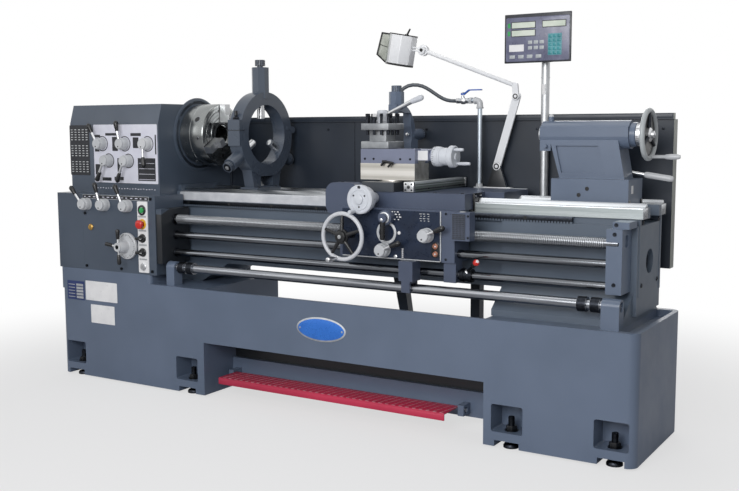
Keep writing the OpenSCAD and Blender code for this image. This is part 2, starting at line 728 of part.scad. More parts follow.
module apron() color("#5b667c") place() {
  difference() {
    union() {
      block([apron_x, apron_y, apron_z], [apron_end, rack_y - 3, apron_top]);
      // navy plate
      block([apron_x + 95, apron_y - 3, apron_z + 4], [apron_end - 61, apron_y, apron_top - 6]);
      // ear that carries the control rod
      block([apron_end - 52, rods_y - 28, control_z - 30], [apron_end, rods_y + 28, apron_z]);
      // thread dial housing
      block([apron_end, apron_y - 32, apron_z + 92], [apron_end + 78, apron_y + 14, apron_top]);
      // upper boss for the direction lever
      rod_y(30, apron_y - 30, apron_y - 2, apron_x + 229, apron_top - 34);
    }
    block([apron_x + 16, apron_y + 14, apron_z + 12], [apron_end - 16, bed_y, apron_top - 20]);
    rod_x(leadscrew_r + 1, apron_x - 1, apron_end + 1, rods_y, leadscrew_z);
    rod_x(rod_r + 1, apron_x - 1, apron_end + 1, rods_y, feed_z);
    rod_x(rod_r + 1, apron_end - 53, apron_end + 1, rods_y, control_z);
    for (p = apron_hubs) rod_y(control_r + fit, apron_y - 4, apron_y + 15, p[0], p[1]);
    rod_y(12 + fit, apron_y - 1, apron_y + 15, wheel_x, wheel_z);
  }
  // direction lever, hanging from its boss
  rod_y(18, apron_y - 50, apron_y - 30, apron_x + 229, apron_top - 34);
  rod_z(10, apron_top - 118, apron_top - 44, apron_x + 225, apron_y - 40);
  // claw around the stop rod
  difference() {
    block([apron_x + 312, stop_y - 32, stop_z - 14], [apron_x + 350, stop_y + 32, control_z - 30]);
    block([apron_x + 311, stop_y - stop_r - 1, stop_z - 15],
          [apron_x + 351, stop_y + stop_r + 1, stop_z + stop_r + 2]);
  }
  block([apron_x + 300, stop_y - 32, control_z - 30], [apron_x + 362, rods_y - rod_r - 2, apron_z]);
}

apron_hubs = [[apron_x + 406, apron_z + 103], [apron_x + 213, apron_z + 36]];
wheel_x = apron_x + 63;
wheel_z = apron_z + 88;

module half_nut_lever() color("#d2d5da") place()
  hub_lever(apron_hubs[0][0], apron_hubs[0][1], apron_y - 3, 22, 96, 20);

module feed_engage_lever() color("#d2d5da") place()
  hub_lever(apron_hubs[1][0], apron_hubs[1][1], apron_y - 3, 21, 96, 20);

module carriage_handwheel() color("#dfe2e6") place() translate([wheel_x, 0, wheel_z]) {
  translate([0, -20, 0]) spoked_wheel(wheel_r, 8.5, 24, 5);
  rod_y(30, -11.5, apron_y - 1, 0, 0);
  rod_y(12, apron_y - 1, apron_y + 16, 0, 0);
  translate([-24, 0, -88]) {
    rod_y(8, -44, -20, 0, 0);
    rod_y(11, -94, -44, 0, 0);
  }
}

module cross_handwheel() color("#d5d8dc") place() translate([cross_wheel_x, 0, cross_wheel_z]) {
  difference() {
    rod_y(cross_wheel_r, 0, 26, 0, 0);
    rod_y(cross_wheel_r - 12, -1, 5, 0, 0);
  }
  rod_y(20, -6, 5, 0, 0);
  rod_y(cross_wheel_r - 8, 26, apron_y - 5, 0, 0);
  rod_y(cross_wheel_r - 34, apron_y - 5, saddle_front - 1, 0, 0);
  rod_y(12, saddle_front - 1, saddle_front + 60, 0, 0);
  translate([-18, 0, -48]) {
    rod_y(5, -10, 1, 0, 0);
    rod_y(9, -42, -10, 0, 0);
  }
}

module control_lever() color("#8d2a35") place() {
  difference() {
    rod_x(27, apron_end + 12, apron_end + 60, rods_y, control_z);
    rod_x(rod_r + gap, apron_end + 11, apron_end + 61, rods_y, control_z);
  }
  translate([apron_end + 40, rods_y - 16, control_z + 14]) rotate([42, 0, 0]) rotate([0, 44, 0]) {
    cylinder(r = 6, h = 56);
    translate([0, 0, 56]) cylinder(r = 10, h = 24);
    translate([0, 0, 86]) sphere(r = 13);
  }
}

slide_z = saddle_top + 38;

module cross_slide() color("#8a9097") place() difference() {
  union() {
    block([slide_x - cross_w / 2, saddle_front - 8, saddle_top + gap],
          [slide_x + cross_w / 2, cross_back, slide_z]);
    rod_z(8, slide_z, slide_z + 5, slide_x, compound_y);
  }
  ridge(saddle_front + 6, gap);
}

compound_y = bed_y + 50;
compound_x = slide_x - compound_l / 2;
compound_end = compound_x + compound_l;
compound_z = slide_z + 6;
compound_mid = compound_z + 67;
compound_top = compound_z + 126;
compound_back = compound_y + compound_w / 2;
compound_front = compound_y - compound_w / 2;
screw_z = compound_mid + 29;

module compound_base() color("#c4c6c6") place() difference() {
  union() {
    rod_z(62, slide_z + gap, compound_z, slide_x, compound_y);
    block([compound_x, compound_front, compound_z], [compound_end, compound_back, compound_mid]);
    slab_x(compound_x, compound_end, [[compound_y - 26, compound_mid - 1],
        [compound_y - 34, compound_mid + 12],
      [compound_y + 34, compound_mid + 12], [compound_y + 26, compound_mid - 1]]);
  }
  rod_z(8 + fit, slide_z, slide_z + 6, slide_x, compound_y);
}

post_x = compound_x + 64;
post_y = compound_y + 12;
post_z = compound_top + gap;
stud_top = post_z + toolpost_h + 48;

module compound_slide() color("#7d8590") place() difference() {
  union() {
    block([compound_x, compound_front + 2, compound_mid + gap],
        [compound_end, compound_back - 2, compound_top]);
    rod_x(30, compound_end, compound_end + 62, compound_y, screw_z);
    block([compound_end - 1, compound_y - 36, compound_mid + 13],
        [compound_end + 50, compound_y + 36, compound_top - 4]);
    rod_z(16, compound_top - 1, stud_top, post_x, post_y);
  }
  slab_x(compound_x - 1, compound_end + 63, [
    [compound_y - 26 - gap, compound_mid - 1], [compound_y - 34 - gap, compound_mid + 12 + gap],
    [compound_y + 34 + gap, compound_mid + 12 + gap], [compound_y + 26 + gap, compound_mid - 1]]);
  rod_x(9 + fit, compound_end + 20, compound_end + 63, compound_y, screw_z);
}

module compound_handwheel() color("#d5d8dc") place()
  translate([compound_end + 62 + gap, compound_y, screw_z]) {
    rod_x(9, -38, 0, 0, 0);
    rod_x(40, 0, 34, 0, 0);
    rod_x(36, 34, 66, 0, 0);
    rod_x(44, 66, 92, 0, 0);
    for (s = [-1, 1]) rod_x(6, 92, s > 0 ? 150 : 132, s * 12, -s * 28);
  }

module toolpost() color("#5d6166") place() translate([post_x, post_y, post_z]) {
  half = toolpost_w / 2;
  difference() {
    block([-half, -half, 0], [half, half, toolpost_h]);
    for (a = [0, 90, 180, 270]) rotate([0, 0, a])
      block([half - 26, -half - 1, 30], [half + 1, half + 1, toolpost_h - 28]);
    rod_z(16 + fit, -1, toolpost_h + 1, 0, 0);
  }
  for (a = [0, 90, 180, 270], i = [0:2]) rotate([0, 0, a])
    rod_z(6.5, toolpost_h, toolpost_h + 32, half - 13, (i - 1.25) * 34);
}

module toolpost_lever() color("#d9dbdd") place() translate([post_x, post_y, post_z + toolpost_h + gap]) {
  difference() {
    rod_z(26, 0, 54, 0, 0);
    rod_z(16 + fit, -1, 48 - gap + fit, 0, 0);
  }
  translate([22, 0, 40]) rotate([0, 70, -3]) {
    cylinder(r = 9, h = 70);
    translate([0, 0, 70]) cylinder(r = 12, h = 118);
  }
}

rest_x = saddle_x + 185;
rest_w = 40;

module follow_rest() color("#525c70") place() {
  difference() {
    union() {
      rod_x(130, rest_x, rest_x + rest_w, spindle_y, spindle_z);
      block([rest_x, spindle_y + 100, saddle_top], [rest_x + rest_w, spindle_y + 152, spindle_z - 20]);
    }
    rod_x(98, rest_x - 1, rest_x + rest_w + 1, spindle_y, spindle_z);
    block([rest_x - 1, spindle_y - 131, spindle_z - 131],
        [rest_x + rest_w + 1, spindle_y + 91, spindle_z + 92]);
    block([rest_x - 1, spindle_y - 131, spindle_z - 40],
        [rest_x + rest_w + 1, spindle_y - 34, spindle_z + 131]);
    post_8(60, spindle_z + 108, spindle_z + 180, rest_x + rest_w / 2, spindle_y);
    rod_y(24, spindle_y + 112, spindle_y + 140, rest_x + rest_w / 2, spindle_z);
  }
  post_8(60, spindle_z + 108, spindle_z + 180, rest_x + rest_w / 2, spindle_y);
  rod_z(21, spindle_z + 180, spindle_z + 206, rest_x + rest_w / 2, spindle_y);
  rod_z(11, spindle_z + 90, spindle_z + 110, rest_x + rest_w / 2, spindle_y);
  rod_y(24, spindle_y + 112, spindle_y + 212, rest_x + rest_w / 2, spindle_z);
  rod_y(11, spindle_y + 90, spindle_y + 112, rest_x + rest_w / 2, spindle_z);
}

// Coolant pipe, valve and hose

pipe_r = 10;
pipe_top = way_z + 406;
valve_x = pipe_x - 80;

module coolant_pipe() color("#c6cbd0") place() {
  rod_z(pipe_r, saddle_top, pipe_top - 14, pipe_x, pipe_y);
  rod_z(pipe_r + 6, saddle_top, saddle_top + 8, pipe_x, pipe_y);
  translate([pipe_x - 22, pipe_y, pipe_top - 22]) rotate([90, 0, 0])
    rotate_extrude(angle = 90) translate([22, 0]) circle(pipe_r + 4);
  rod_x(pipe_r, pipe_x - 72, pipe_x - 22, pipe_y, pipe_top);
  rod_x(pipe_r + 6, pipe_x - 94, pipe_x - 60, pipe_y, pipe_top);
  rod_x(pipe_r + 3, pipe_x - 112, pipe_x - 94, pipe_y, pipe_top);
  rod_z(5, pipe_top + 12, pipe_top + 24, valve_x, pipe_y);
}

module valve_lever() color("#1f3f8f") place() translate([valve_x, pipe_y, pipe_top + 24 + gap]) {
  rod_z(10, 0, 8, 0, 0);
  slab_y(-6, 6, [[8, 2], [30, 18], [88, 18], [88, 23], [28, 23], [6, 8]]);
}

hose_r = 8;
// The hose's middle from the valve on, each with its share of the hose's radius; a nozzle ends it.
hose_start = [pipe_x - 112, pipe_y, pipe_top];
hose_route = [[0, 0, 0, 1], [-13, 0, 0, 1], [-29, 0, 1, 1], [-47, -1, 5, 1], [-65, -3, 12, 1],
    [-83, -5, 22, 1],
  [-101, -8, 34, 1], [-119, -11, 46, 1], [-137, -14, 57, 1], [-156, -18, 66, 1], [-176, -23, 71, 1],
  [-197, -29, 72, 1], [-217, -36, 68, 1], [-235, -44, 58, 1], [-247, -52, 42, 1], [-251, -58, 23, 1],
  [-251, -60, 7, 1], [-251, -60, 6, 1.4], [-251, -60, -18, 1.4], [-251, -60, -20, 0.8],
      [-251, -60, -44, 0.6]];

function unit(v) = v / norm(v);
function spot(p) = [p[0], p[1], p[2]];
function ring_way(p, i) = unit(spot(p[min(i + 1, len(p) - 1)]) - spot(p[max(i - 1, 0)]));
function ring_side(w) = unit(cross(w, [0, 1, 0.2]));

// A tube swept along a route, with flat ends.
module sweep_tube(p, r, sides) {
  rings = [for (i = [0:len(p) - 1])
    let (w = ring_way(p, i), a = ring_side(w), b = cross(w, a))
    for (k = [0:sides - 1])
      spot(p[i]) + r * p[i][3] * (cos(k * 360 / sides) * a + sin(k * 360 / sides) * b)];
  skin = [for (i = [0:len(p) - 2], k = [0:sides - 1])
    [i * sides + k, (i + 1) * sides + k, (i + 1) * sides + (k + 1) % sides, i * sides + (k + 1) % sides]];
  caps = [[for (k = [0:sides - 1]) k],
    [for (k = [0:sides - 1]) (len(p) - 1) * sides + sides - 1 - k]];
  polyhedron(rings, concat(skin, caps));
}

module coolant_hose() color("#8c8f8a") place() translate(hose_start) sweep_tube(hose_route, hose_r, 12);

// Work lamp

elbow_x = lamp_x + 87;
elbow_z = lamp_z + sqrt(lamp_arm * lamp_arm - 87 * 87) - 26;
head_px = lamp_x - 350;
head_pz = lamp_z + 499;
arm_front = lamp_y - 4 - gap;

// A link facing the operator between two points in X and Z, with round ends.
module link(a, b, y0, y1, r) translate([0, y1, 0]) rotate([90, 0, 0]) linear_extrude(y1 - y0) {
  run = [b[0] - a[0], b[1] - a[1]];
  translate(a) circle(r);
  translate(b) circle(r);
  translate(a) rotate(atan2(run[1], run[0])) translate([0, -r]) square([norm(run), 2 * r]);
}

module lamp_lower_arm() color("#e9ebee") place() difference() {
  link([lamp_x, lamp_z], [elbow_x, elbow_z], arm_front - 9, arm_front, 17);
  for (p = [[lamp_x, lamp_z], [elbow_x, elbow_z]]) rod_y(6, arm_front - 10, arm_front - 5, p[0], p[1]);
}

module lamp_upper_arm() color("#e9ebee") place() {
  y1 = arm_front - 9 - gap;
  link([elbow_x, elbow_z], [elbow_x - 4, elbow_z + 44], y1 - 10, y1, 13);
  run = [elbow_x - 4 - head_px, elbow_z + 44 - head_pz];
  difference() {
    translate([head_px, y1 - 5, head_pz]) rotate([0, 90 - atan2(run[1], run[0]), 0])
      cylinder(r = 9, h = norm(run));
    link([elbow_x, elbow_z], [elbow_x - 4, elbow_z + 44], y1 - 20, y1 + 9, 13);
    rod_y(24, y1 - 20, y1 + 10, head_px, head_pz);
  }
  rod_y(24, y1 - 14, y1 + 4, head_px, head_pz);
}

head_r = 58;
head_cx = -101;

module lamp_head() color("#eef0f2") place() {
  y1 = arm_front - 9 - gap - 14 - gap;
  translate([head_px, y1 - 6, head_pz]) rotate([0, 10.5, 0]) {
    rod_y(15, -6, 6, 0, 0);
    rod_x(5.5, head_r + head_cx - 2, -13, 0, 0);
    difference() {
      union() {
        post_8(2 * head_r, -82, 54, head_cx, 0);
        slab_y(-46, 46, [[-197, -48], [-146, -76], [-146, 48], [-186, 48]]);
      }
      // hollow box, and the lens set back behind the rim
      post_8(2 * head_r - 8, -77, 49, head_cx, 0);
      slab_y(-42, 42, [[-199, -43], [head_cx - 40, -70], [head_cx - 40, 43], [-199, 43]]);
    }
  }
}

// Readout on its post, and its scales on the carriage

post_px = saddle_end + 57;
post_py = bed_back + 74;
display_x = post_px - 10;
display_z = way_z + 552;
display_y = post_py - 26;

module readout_post() color("#cdd1d6") place() {
  post_foot = way_z - way_h - 4;
  rod_z(17, post_foot, display_z + 60, post_px, post_py);
  block([post_px - 30, bed_back - 8, post_foot - 40], [post_px + 30, post_py + 22, post_foot]);
}

module readout_display() color("#2e323c") place() {
  front_plate(display_x - display_w / 2, display_x + display_w / 2, display_z, display_z + display_h,
              display_y - 48, display_y, 8);
  difference() {
    rod_z(24, display_z + 10, display_z + 58, post_px, post_py);
    rod_z(17 + gap, display_z, display_z + 61, post_px, post_py);
  }
  block([post_px - 12, display_y, display_z + 16], [post_px + 12, post_py - 18, display_z + 52]);
}

module readout_scales() color("#8e9492") place() {
  // cross scale beside the cross slide, on two lugs
  block([slide_x + 122, saddle_front - 10, saddle_top + 2],
      [slide_x + 167, saddle_back + 46, saddle_top + 42]);
  for (y = [saddle_front + 30, saddle_back - 72]) block([slide_x + 130, y, saddle_top],
      [slide_x + 160, y + 30, saddle_top + 2]);
  // bed scale box behind the saddle's right end
  block([lamp_x + 50, saddle_back, saddle_top - 32], [saddle_end - 4, saddle_back + 12, saddle_top + 2]);
}

// Steady rest

steady_x = -456;
steady_lo = steady_x - steady_t / 2;
steady_hi = steady_x + steady_t / 2;
split_z = spindle_z + 22;

module at_ring(angle) translate([steady_x, spindle_y, spindle_z]) rotate([angle, 0, 0]) children();

hinge_y = spindle_y + steady_r + 6;
hinge_r = 16;
eye_w = 28;
ear_x = eye_w / 2 + 12;

module steady_ring() rod_x(steady_r, steady_lo, steady_hi, spindle_y, spindle_z);

module steady_bore() rod_x(steady_in, steady_lo - 1, steady_hi + 1, spindle_y, spindle_z);

module steady_base() color("#4e586b") place() {
  difference() {
    union() {
      difference() {
        union() {
          steady_ring();
          slab_x(steady_lo + 6, steady_hi - 6, [[bed_y + 70, way_z + 12], [bed_back - 48, way_z + 12],
            [spindle_y + 128, spindle_z - 90], [spindle_y - 128, spindle_z - 90]]);
          block([steady_lo - 16, bed_y + 62, way_z + gap], [steady_hi + 16, bed_back - 62, way_z + 24]);
          for (p = [[120, 72], [-120, 38]]) at_ring(p[0]) rod_z(30, steady_r - 34, steady_r + p[1], 0, 0);
          block([steady_lo, spindle_y - steady_r - 6, split_z - 70],
                [steady_hi, spindle_y - steady_r + 30, split_z + 1]);
        }
        block([steady_lo - 1, spindle_y - steady_r - 20, split_z],
              [steady_hi + 1, spindle_y + steady_r + 20, spindle_z + steady_r + 9]);
      }
      // hinge eye
      block([steady_x - eye_w / 2, spindle_y + steady_r - 26, split_z - 60],
            [steady_x + eye_w / 2, hinge_y + hinge_r, split_z - 1]);
      rod_x(hinge_r, steady_x - eye_w / 2, steady_x + eye_w / 2, hinge_y, split_z);
    }
    steady_bore();
    for (s = [-1, 1]) rod_x(hinge_r + 1, steady_x + s * ear_x - 11.6, steady_x + s * ear_x + 11.6,
        hinge_y, split_z);
    // opening through the leg
    block([steady_lo + 12, bed_y + 118, way_z + 30], [steady_hi + 1, bed_back - 92, way_z + 74]);
  }
  // lower fingers and their knobs
  for (p = [[120, 72], [-120, 38]]) at_ring(p[0]) {
    rod_z(17, 70, steady_r, 0, 0);
    rod_z(24, steady_r + p[1], steady_r + p[1] + 22, 0, 0);
  }
}

module steady_top() color("#4e586b") place() {
  difference() {
    union() {
      difference() {
        union() {
          steady_ring();
          post_8(74, spindle_z + steady_r - 30, spindle_z + steady_r + 112, steady_x, spindle_y);
          block([steady_lo, spindle_y - steady_r - 6, split_z],
                [steady_hi, spindle_y - steady_r + 30, split_z + 46]);
        }
        block([steady_lo - 1, spindle_y - steady_r - 20, spindle_z - steady_r - 1],
              [steady_hi + 1, spindle_y + steady_r + 20, split_z + gap]);
      }
      // hinge ears
      for (s = [-1, 1]) {
        rod_x(hinge_r, steady_x + s * ear_x - 11, steady_x + s * ear_x + 11, hinge_y, split_z);
        block([steady_x + s * ear_x - 11, spindle_y + steady_r - 40, split_z + gap],
              [steady_x + s * ear_x + 11, hinge_y, split_z + hinge_r]);
      }
    }
    steady_bore();
    block([steady_x - eye_w / 2 - gap, hinge_y - 34, split_z - hinge_r - 4],
          [steady_x + eye_w / 2 + gap, hinge_y + hinge_r + 4, split_z + hinge_r + 6]);
  }
  // top finger and its knob
  rod_z(17, spindle_z + 70, spindle_z + steady_r, steady_x, spindle_y);
  rod_z(14, spindle_z + steady_r + 112, spindle_z + steady_r + 120, steady_x, spindle_y);
  rod_z(23, spindle_z + steady_r + 120, spindle_z + steady_r + 146, steady_x, spindle_y);
}

// Tailstock

barrel_x = bed_end - 440;
barrel_end = barrel_x + barrel_l;
tail_base_x = barrel_x + 66;
tail_base_end = barrel_end + 20;
clamp_x = barrel_end - 44;
clamp_y = spindle_y + 60;
clamp_z = way_z + 122;
tail_lo = way_z + gap;

module tailstock_body() color("#5f6b81") place() difference() {
  union() {
    rod_x(barrel_r, barrel_x, barrel_end, spindle_y, spindle_z);
    block([barrel_x, spindle_y - barrel_r, spindle_z - 8],
        [barrel_end, spindle_y + barrel_r, spindle_z + 30]);
    // web that narrows towards the base
    slab_y(spindle_y - 50, clamp_y, [[barrel_x + 40, spindle_z - 20], [barrel_end - 38, spindle_z - 20],
      [barrel_end - 10, way_z + 96], [barrel_x + 82, way_z + 96]]);
    block([barrel_x, spindle_y - 50, spindle_z - 62], [barrel_x + 44, spindle_y + 50, spindle_z - 20]);
    block([tail_base_x, bed_y + 64, tail_lo], [tail_base_end, bed_back - 62, way_z + 98]);
    rod_x(barrel_r - 8, barrel_end, barrel_end + 22, spindle_y, spindle_z);
    rod_z(11, spindle_z + barrel_r - 6, spindle_z + barrel_r + 16, barrel_x + 26, spindle_y);
    rod_y(7, spindle_y - 66, spindle_y - 36, barrel_x + 26, spindle_z - 44);
  }
  slab_y(spindle_y - 51, spindle_y - 40, [[barrel_x + 64, spindle_z - 42], [barrel_end - 112, spindle_z - 42],
    [barrel_end - 84, way_z + 118], [barrel_x + 88, way_z + 118]]);
  rod_x(quill_r + fit, barrel_x - 1, barrel_end - 40, spindle_y, spindle_z);
  rod_x(14 + fit, barrel_end - 41, barrel_end + 23, spindle_y, spindle_z);
  rod_y(control_r + fit, clamp_y - 62, clamp_y + 1, clamp_x, clamp_z);
  for (p = [[142, 62], [110, 38]]) rod_y(8, bed_y + 60, bed_y + 80, tail_base_x + p[0], way_z + p[1]);
}

module quill() color("#cfd1d2") place() difference() {
  rod_x(quill_r, barrel_x - 12, barrel_end - 130, spindle_y, spindle_z);
  rod_x(16, barrel_x - 13, barrel_x + 90, spindle_y, spindle_z);
  rod_x(15, barrel_x + 100, barrel_end - 129, spindle_y, spindle_z);
}

module tailstock_handwheel() color("#dfe2e6") place() {
  translate([barrel_end + 62, spindle_y, spindle_z]) {
    rotate([0, 0, 90]) spoked_wheel(tail_wheel_r, 10, 24, 3);
    rod_x(44, -39.5, -14, 0, 0);
    rod_x(24, -14, -9.9, 0, 0);
    rod_x(14, -290, -39.5, 0, 0);
    translate([0, 26, -tail_wheel_r + 16]) {
      rod_x(7, 0, 54, 0, 0);
      rod_x(11, 54, 112, 0, 0);
    }
  }
}

module tailstock_clamp() color("#9a9fa6") place()
  translate([clamp_x, clamp_y, clamp_z]) {
    rod_y(control_r, -60, 1, 0, 0);
    rod_y(19, 1, 25, 0, 0);
    translate([0, 13, 0]) rotate([0, 8, 0]) {
      rod_x(7, 15, 74, 0, 0);
      rod_x(12, 74, 184, 0, 0);
    }
  }

base();
levelling_feet();
treadle();
bed();
headstock();
gearbox();
end_gear_cover();
control_panel();
start_button();
stop_button();
rod_brackets();
splash_guard();
main_motor();
spindle();
chuck_body();
chuck_jaw(1);  // chuck_jaw_1
chuck_jaw(2);  // chuck_jaw_2
chuck_jaw(3);  // chuck_jaw_3
speed_lever(0);  // speed_lever_1
speed_lever(1);  // speed_lever_2
speed_lever(2);  // speed_lever_3
speed_lever(3);  // thread_lever_1
speed_lever(4);  // thread_lever_2
feed_lever(0);  // feed_lever_1
feed_lever(1);  // feed_lever_2
feed_lever(2);  // feed_lever_3
feed_dial();
leadscrew();
feed_rod();
control_rod();
stop_rod();
saddle();
apron();
carriage_handwheel();
cross_handwheel();
half_nut_lever();
feed_engage_lever();
control_lever();
cross_slide();
compound_base();
compound_slide();
compound_handwheel();
toolpost();
toolpost_lever();
follow_rest();
coolant_pipe();
valve_lever();
coolant_hose();
lamp_lower_arm();
lamp_upper_arm();
lamp_head();
readout_post();
readout_display();
readout_scales();
steady_base();
steady_top();
tailstock_body();
quill();
tailstock_handwheel();
tailstock_clamp();
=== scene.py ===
import bpy, bmesh, math
from mathutils import Matrix, Vector


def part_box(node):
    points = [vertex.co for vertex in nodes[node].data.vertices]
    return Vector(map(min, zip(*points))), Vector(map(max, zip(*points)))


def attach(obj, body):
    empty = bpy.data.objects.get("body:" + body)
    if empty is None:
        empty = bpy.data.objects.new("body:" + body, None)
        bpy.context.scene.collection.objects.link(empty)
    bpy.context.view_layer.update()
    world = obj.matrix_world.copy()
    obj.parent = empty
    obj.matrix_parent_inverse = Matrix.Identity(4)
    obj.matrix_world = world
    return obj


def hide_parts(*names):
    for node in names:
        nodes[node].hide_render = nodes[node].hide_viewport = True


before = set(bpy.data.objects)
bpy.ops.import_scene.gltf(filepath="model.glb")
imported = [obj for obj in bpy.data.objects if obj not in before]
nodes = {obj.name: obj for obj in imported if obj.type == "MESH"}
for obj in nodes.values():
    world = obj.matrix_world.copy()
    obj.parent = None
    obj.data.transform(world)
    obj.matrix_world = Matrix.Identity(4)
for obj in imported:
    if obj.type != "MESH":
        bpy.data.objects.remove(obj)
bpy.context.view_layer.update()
scene = bpy.context.scene

# the machine's own zero, for sizes in millimetres: middle of the base, its front face, the floor
baseLow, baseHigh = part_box("base")
zero = Vector(((baseLow.x + baseHigh.x) / 2, baseLow.y, 0))


def at(x, y, z):
    return zero + Vector((x, y, z)) / 1000


# directions and the lines that several pieces share
forward, rightward, upward = (0, -1, 0), (1, 0, 0), (0, 0, 1)
backward, leftward, downward = (0, 1, 0), (-1, 0, 0), (0, 0, -1)
spindleY, spindleZ = 360, 1168
rodsY, leadscrewZ, feedRodZ, controlRodZ = 100, 785, 712, 631
stopRodY, stopRodZ = 48, 570

# camera

cameraView = {"place": (2.3812, -3.6331, 1.1928), "turn": 0.548, "dip": 0.116, "roll": -0.004, "lens": 48.75}
camera = bpy.data.objects.new("camera", bpy.data.cameras.new("camera"))
scene.collection.objects.link(camera)
scene.camera = camera
camera.data.sensor_width = 36
camera.data.lens = cameraView["lens"]
camera.matrix_world = (Matrix.Translation(cameraView["place"]) @ Matrix.Rotation(cameraView["turn"], 4, "Z")
                       @ Matrix.Rotation(math.pi / 2 - cameraView["dip"], 4, "X")
                       @ Matrix.Rotation(cameraView["roll"], 4, "Z"))

# the coolant hose from the valve to its nozzle, as steps from the valve's mouth
hoseSizes = {"radius": 8, "start": (449, 556, 1311)}
hoseRoute = [[0, 0, 0], [-13, 0, 0], [-29, 0, 1], [-47, -1, 5], [-65, -3, 12], [-83, -5, 22], [-101, -8, 34],
             [-119, -11, 46],
             [-137, -14, 57], [-156, -18, 66], [-176, -23, 71], [-197, -29, 72], [-217, -36, 68],
             [-235, -44, 58],
             [-247, -52, 42], [-251, -58, 23], [-251, -60, 7], [-251, -60, 6]]
hosePoints = [at(*[s + o for s, o in zip(hoseSizes["start"], step)]) for step in hoseRoute]
hoseCurve = bpy.data.curves.new("coolantHose", "CURVE")
hoseCurve.dimensions = "3D"
line = hoseCurve.splines.new("POLY")
line.points.add(len(hosePoints) - 1)
for point, spot in zip(line.points, hosePoints):
    point.co = (*spot, 1)
    point.radius = hoseSizes["radius"] / 1000
hoseCurve.bevel_depth = 1  # times each point's own radius
hoseCurve.bevel_resolution = 5
hoseCurve.use_fill_caps = True
hose = bpy.data.objects.new("coolantHose", hoseCurve)
scene.collection.objects.link(hose)
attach(hose, "carriage")

# shape helpers


class Shape:
    def __init__(self):
        self.mesh = bmesh.new()
        self.finishes = []

    def add(self, part, finish, turn=None):
        if finish not in self.finishes:
            self.finishes.append(finish)
        for face in part.faces:
            face.material_index = self.finishes.index(finish)
        if turn is not None:
            bmesh.ops.transform(part, matrix=turn, verts=part.verts)
        loose = bpy.data.meshes.new("loose")
        part.to_mesh(loose)
        part.free()
        self.mesh.from_mesh(loose)
        bpy.data.meshes.remove(loose)
        return self

    # a box between two corners, its edges rounded, one set of long edges more if asked
    def block(self, low, high, finish, edge=1.5, steps=2, corner=0, across="z", turn=None):
        low, high = at(*low), at(*high)
        size = high - low
        part = bmesh.new()
        bmesh.ops.create_cube(part, size=1)
        bmesh.ops.transform(part, matrix=Matrix.Translation((low + high) / 2) @ Matrix.Diagonal((*size, 1)),
                            verts=part.verts)
        if corner:
            axis = "xyz".index(across)
            upright = [e for e in part.edges if abs((e.verts[0].co - e.verts[1].co)[axis]) > 1e-6]
            bmesh.ops.bevel(part, geom=upright, offset=corner / 1000, segments=5, profile=0.5, affect="EDGES",
                            material=-1)
        if edge:
            sharp = [e for e in part.edges if e.calc_face_angle(0) > 0.6]
            bmesh.ops.bevel(part, geom=sharp, offset=min(edge / 1000, min(size) * 0.3), segments=steps,
                            profile=0.5, affect="EDGES", material=-1)
        return self.add(part, finish, turn)

    # an outline of (radius, height) points spun about an axis
    def turned(self, profile, start, axis, finish, steps=40):
        return self.add(spinProfile(profile, steps), finish, toAxis(start, axis))

    def rod(self, a, b, radius, finish, radiusEnd=None, edge=0.6, steps=20):
        a, b = at(*a), at(*b)
        length = (b - a).length * 1000
        endRadius = radius if radiusEnd is None else radiusEnd
        profile = [(0, 0), (radius - edge, 0), (radius, edge), (endRadius, length - edge),
                   (endRadius - edge, length), (0, length)]
        part = spinProfile(profile, steps)
        turn = (b - a).to_track_quat("Z", "Y").to_matrix().to_4x4()
        return self.add(part, finish, Matrix.Translation(a) @ turn)

    def ball(self, centre, radius, finish):
        part = bmesh.new()
        bmesh.ops.create_uvsphere(part, u_segments=20, v_segments=10, radius=radius / 1000)
        return self.add(part, finish, Matrix.Translation(at(*centre)))

    # a flat outline drawn out along an axis
    def prism(self, outline, start, axis, depth, finish, edge=1):
        part = bmesh.new()
        face = part.faces.new([part.verts.new((x / 1000, y / 1000, 0)) for x, y in outline])
        pulled = bmesh.ops.extrude_face_region(part, geom=[face])
        bmesh.ops.translate(part, vec=(0, 0, depth / 1000),
                            verts=[v for v in pulled["geom"] if isinstance(v, bmesh.types.BMVert)])
        bmesh.ops.recalc_face_normals(part, faces=part.faces)
        if edge:
            sharp = [e for e in part.edges if e.calc_face_angle(0) > 0.5]
            bmesh.ops.bevel(part, geom=sharp, offset=edge / 1000, segments=2, profile=0.5, affect="EDGES",
                            material=-1)
        return self.add(part, finish, toAxis(start, axis))

    # the finished piece rides its body and may take a CAD node's place
    def done(self, name, body, replaced=None):
        data = bpy.data.meshes.new(name)
        bmesh.ops.remove_doubles(self.mesh, verts=self.mesh.verts, dist=1e-7)
        bmesh.ops.recalc_face_normals(self.mesh, faces=self.mesh.faces)
        self.mesh.to_mesh(data)
        self.mesh.free()
        for finish in self.finishes:
            data.materials.append(finish)
        data.shade_smooth()
        data.set_sharp_from_angle(angle=math.radians(35))
        piece = bpy.data.objects.new(name, data)
        scene.collection.objects.link(piece)
        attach(piece, body)
        if replaced:
            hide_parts(replaced)
        return piece


def spinProfile(profile, steps):
    part = bmesh.new()
    points = [part.verts.new((r / 1000, 0, z / 1000)) for r, z in profile]
    for a, b in zip(points, points[1:]):
        part.edges.new((a, b))
    if profile[0][0] > 0 or profile[-1][0] > 0:
        part.edges.new((points[-1], points[0]))
    bmesh.ops.spin(part, geom=part.verts[:] + part.edges[:], axis=(0, 0, 1), cent=(0, 0, 0), dvec=(0, 0, 0),
                   angle=math.tau, steps=steps, use_merge=True, use_duplicate=False)
    bmesh.ops.remove_doubles(part, verts=part.verts, dist=1e-7)
    bmesh.ops.recalc_face_normals(part, faces=part.faces)
    return part


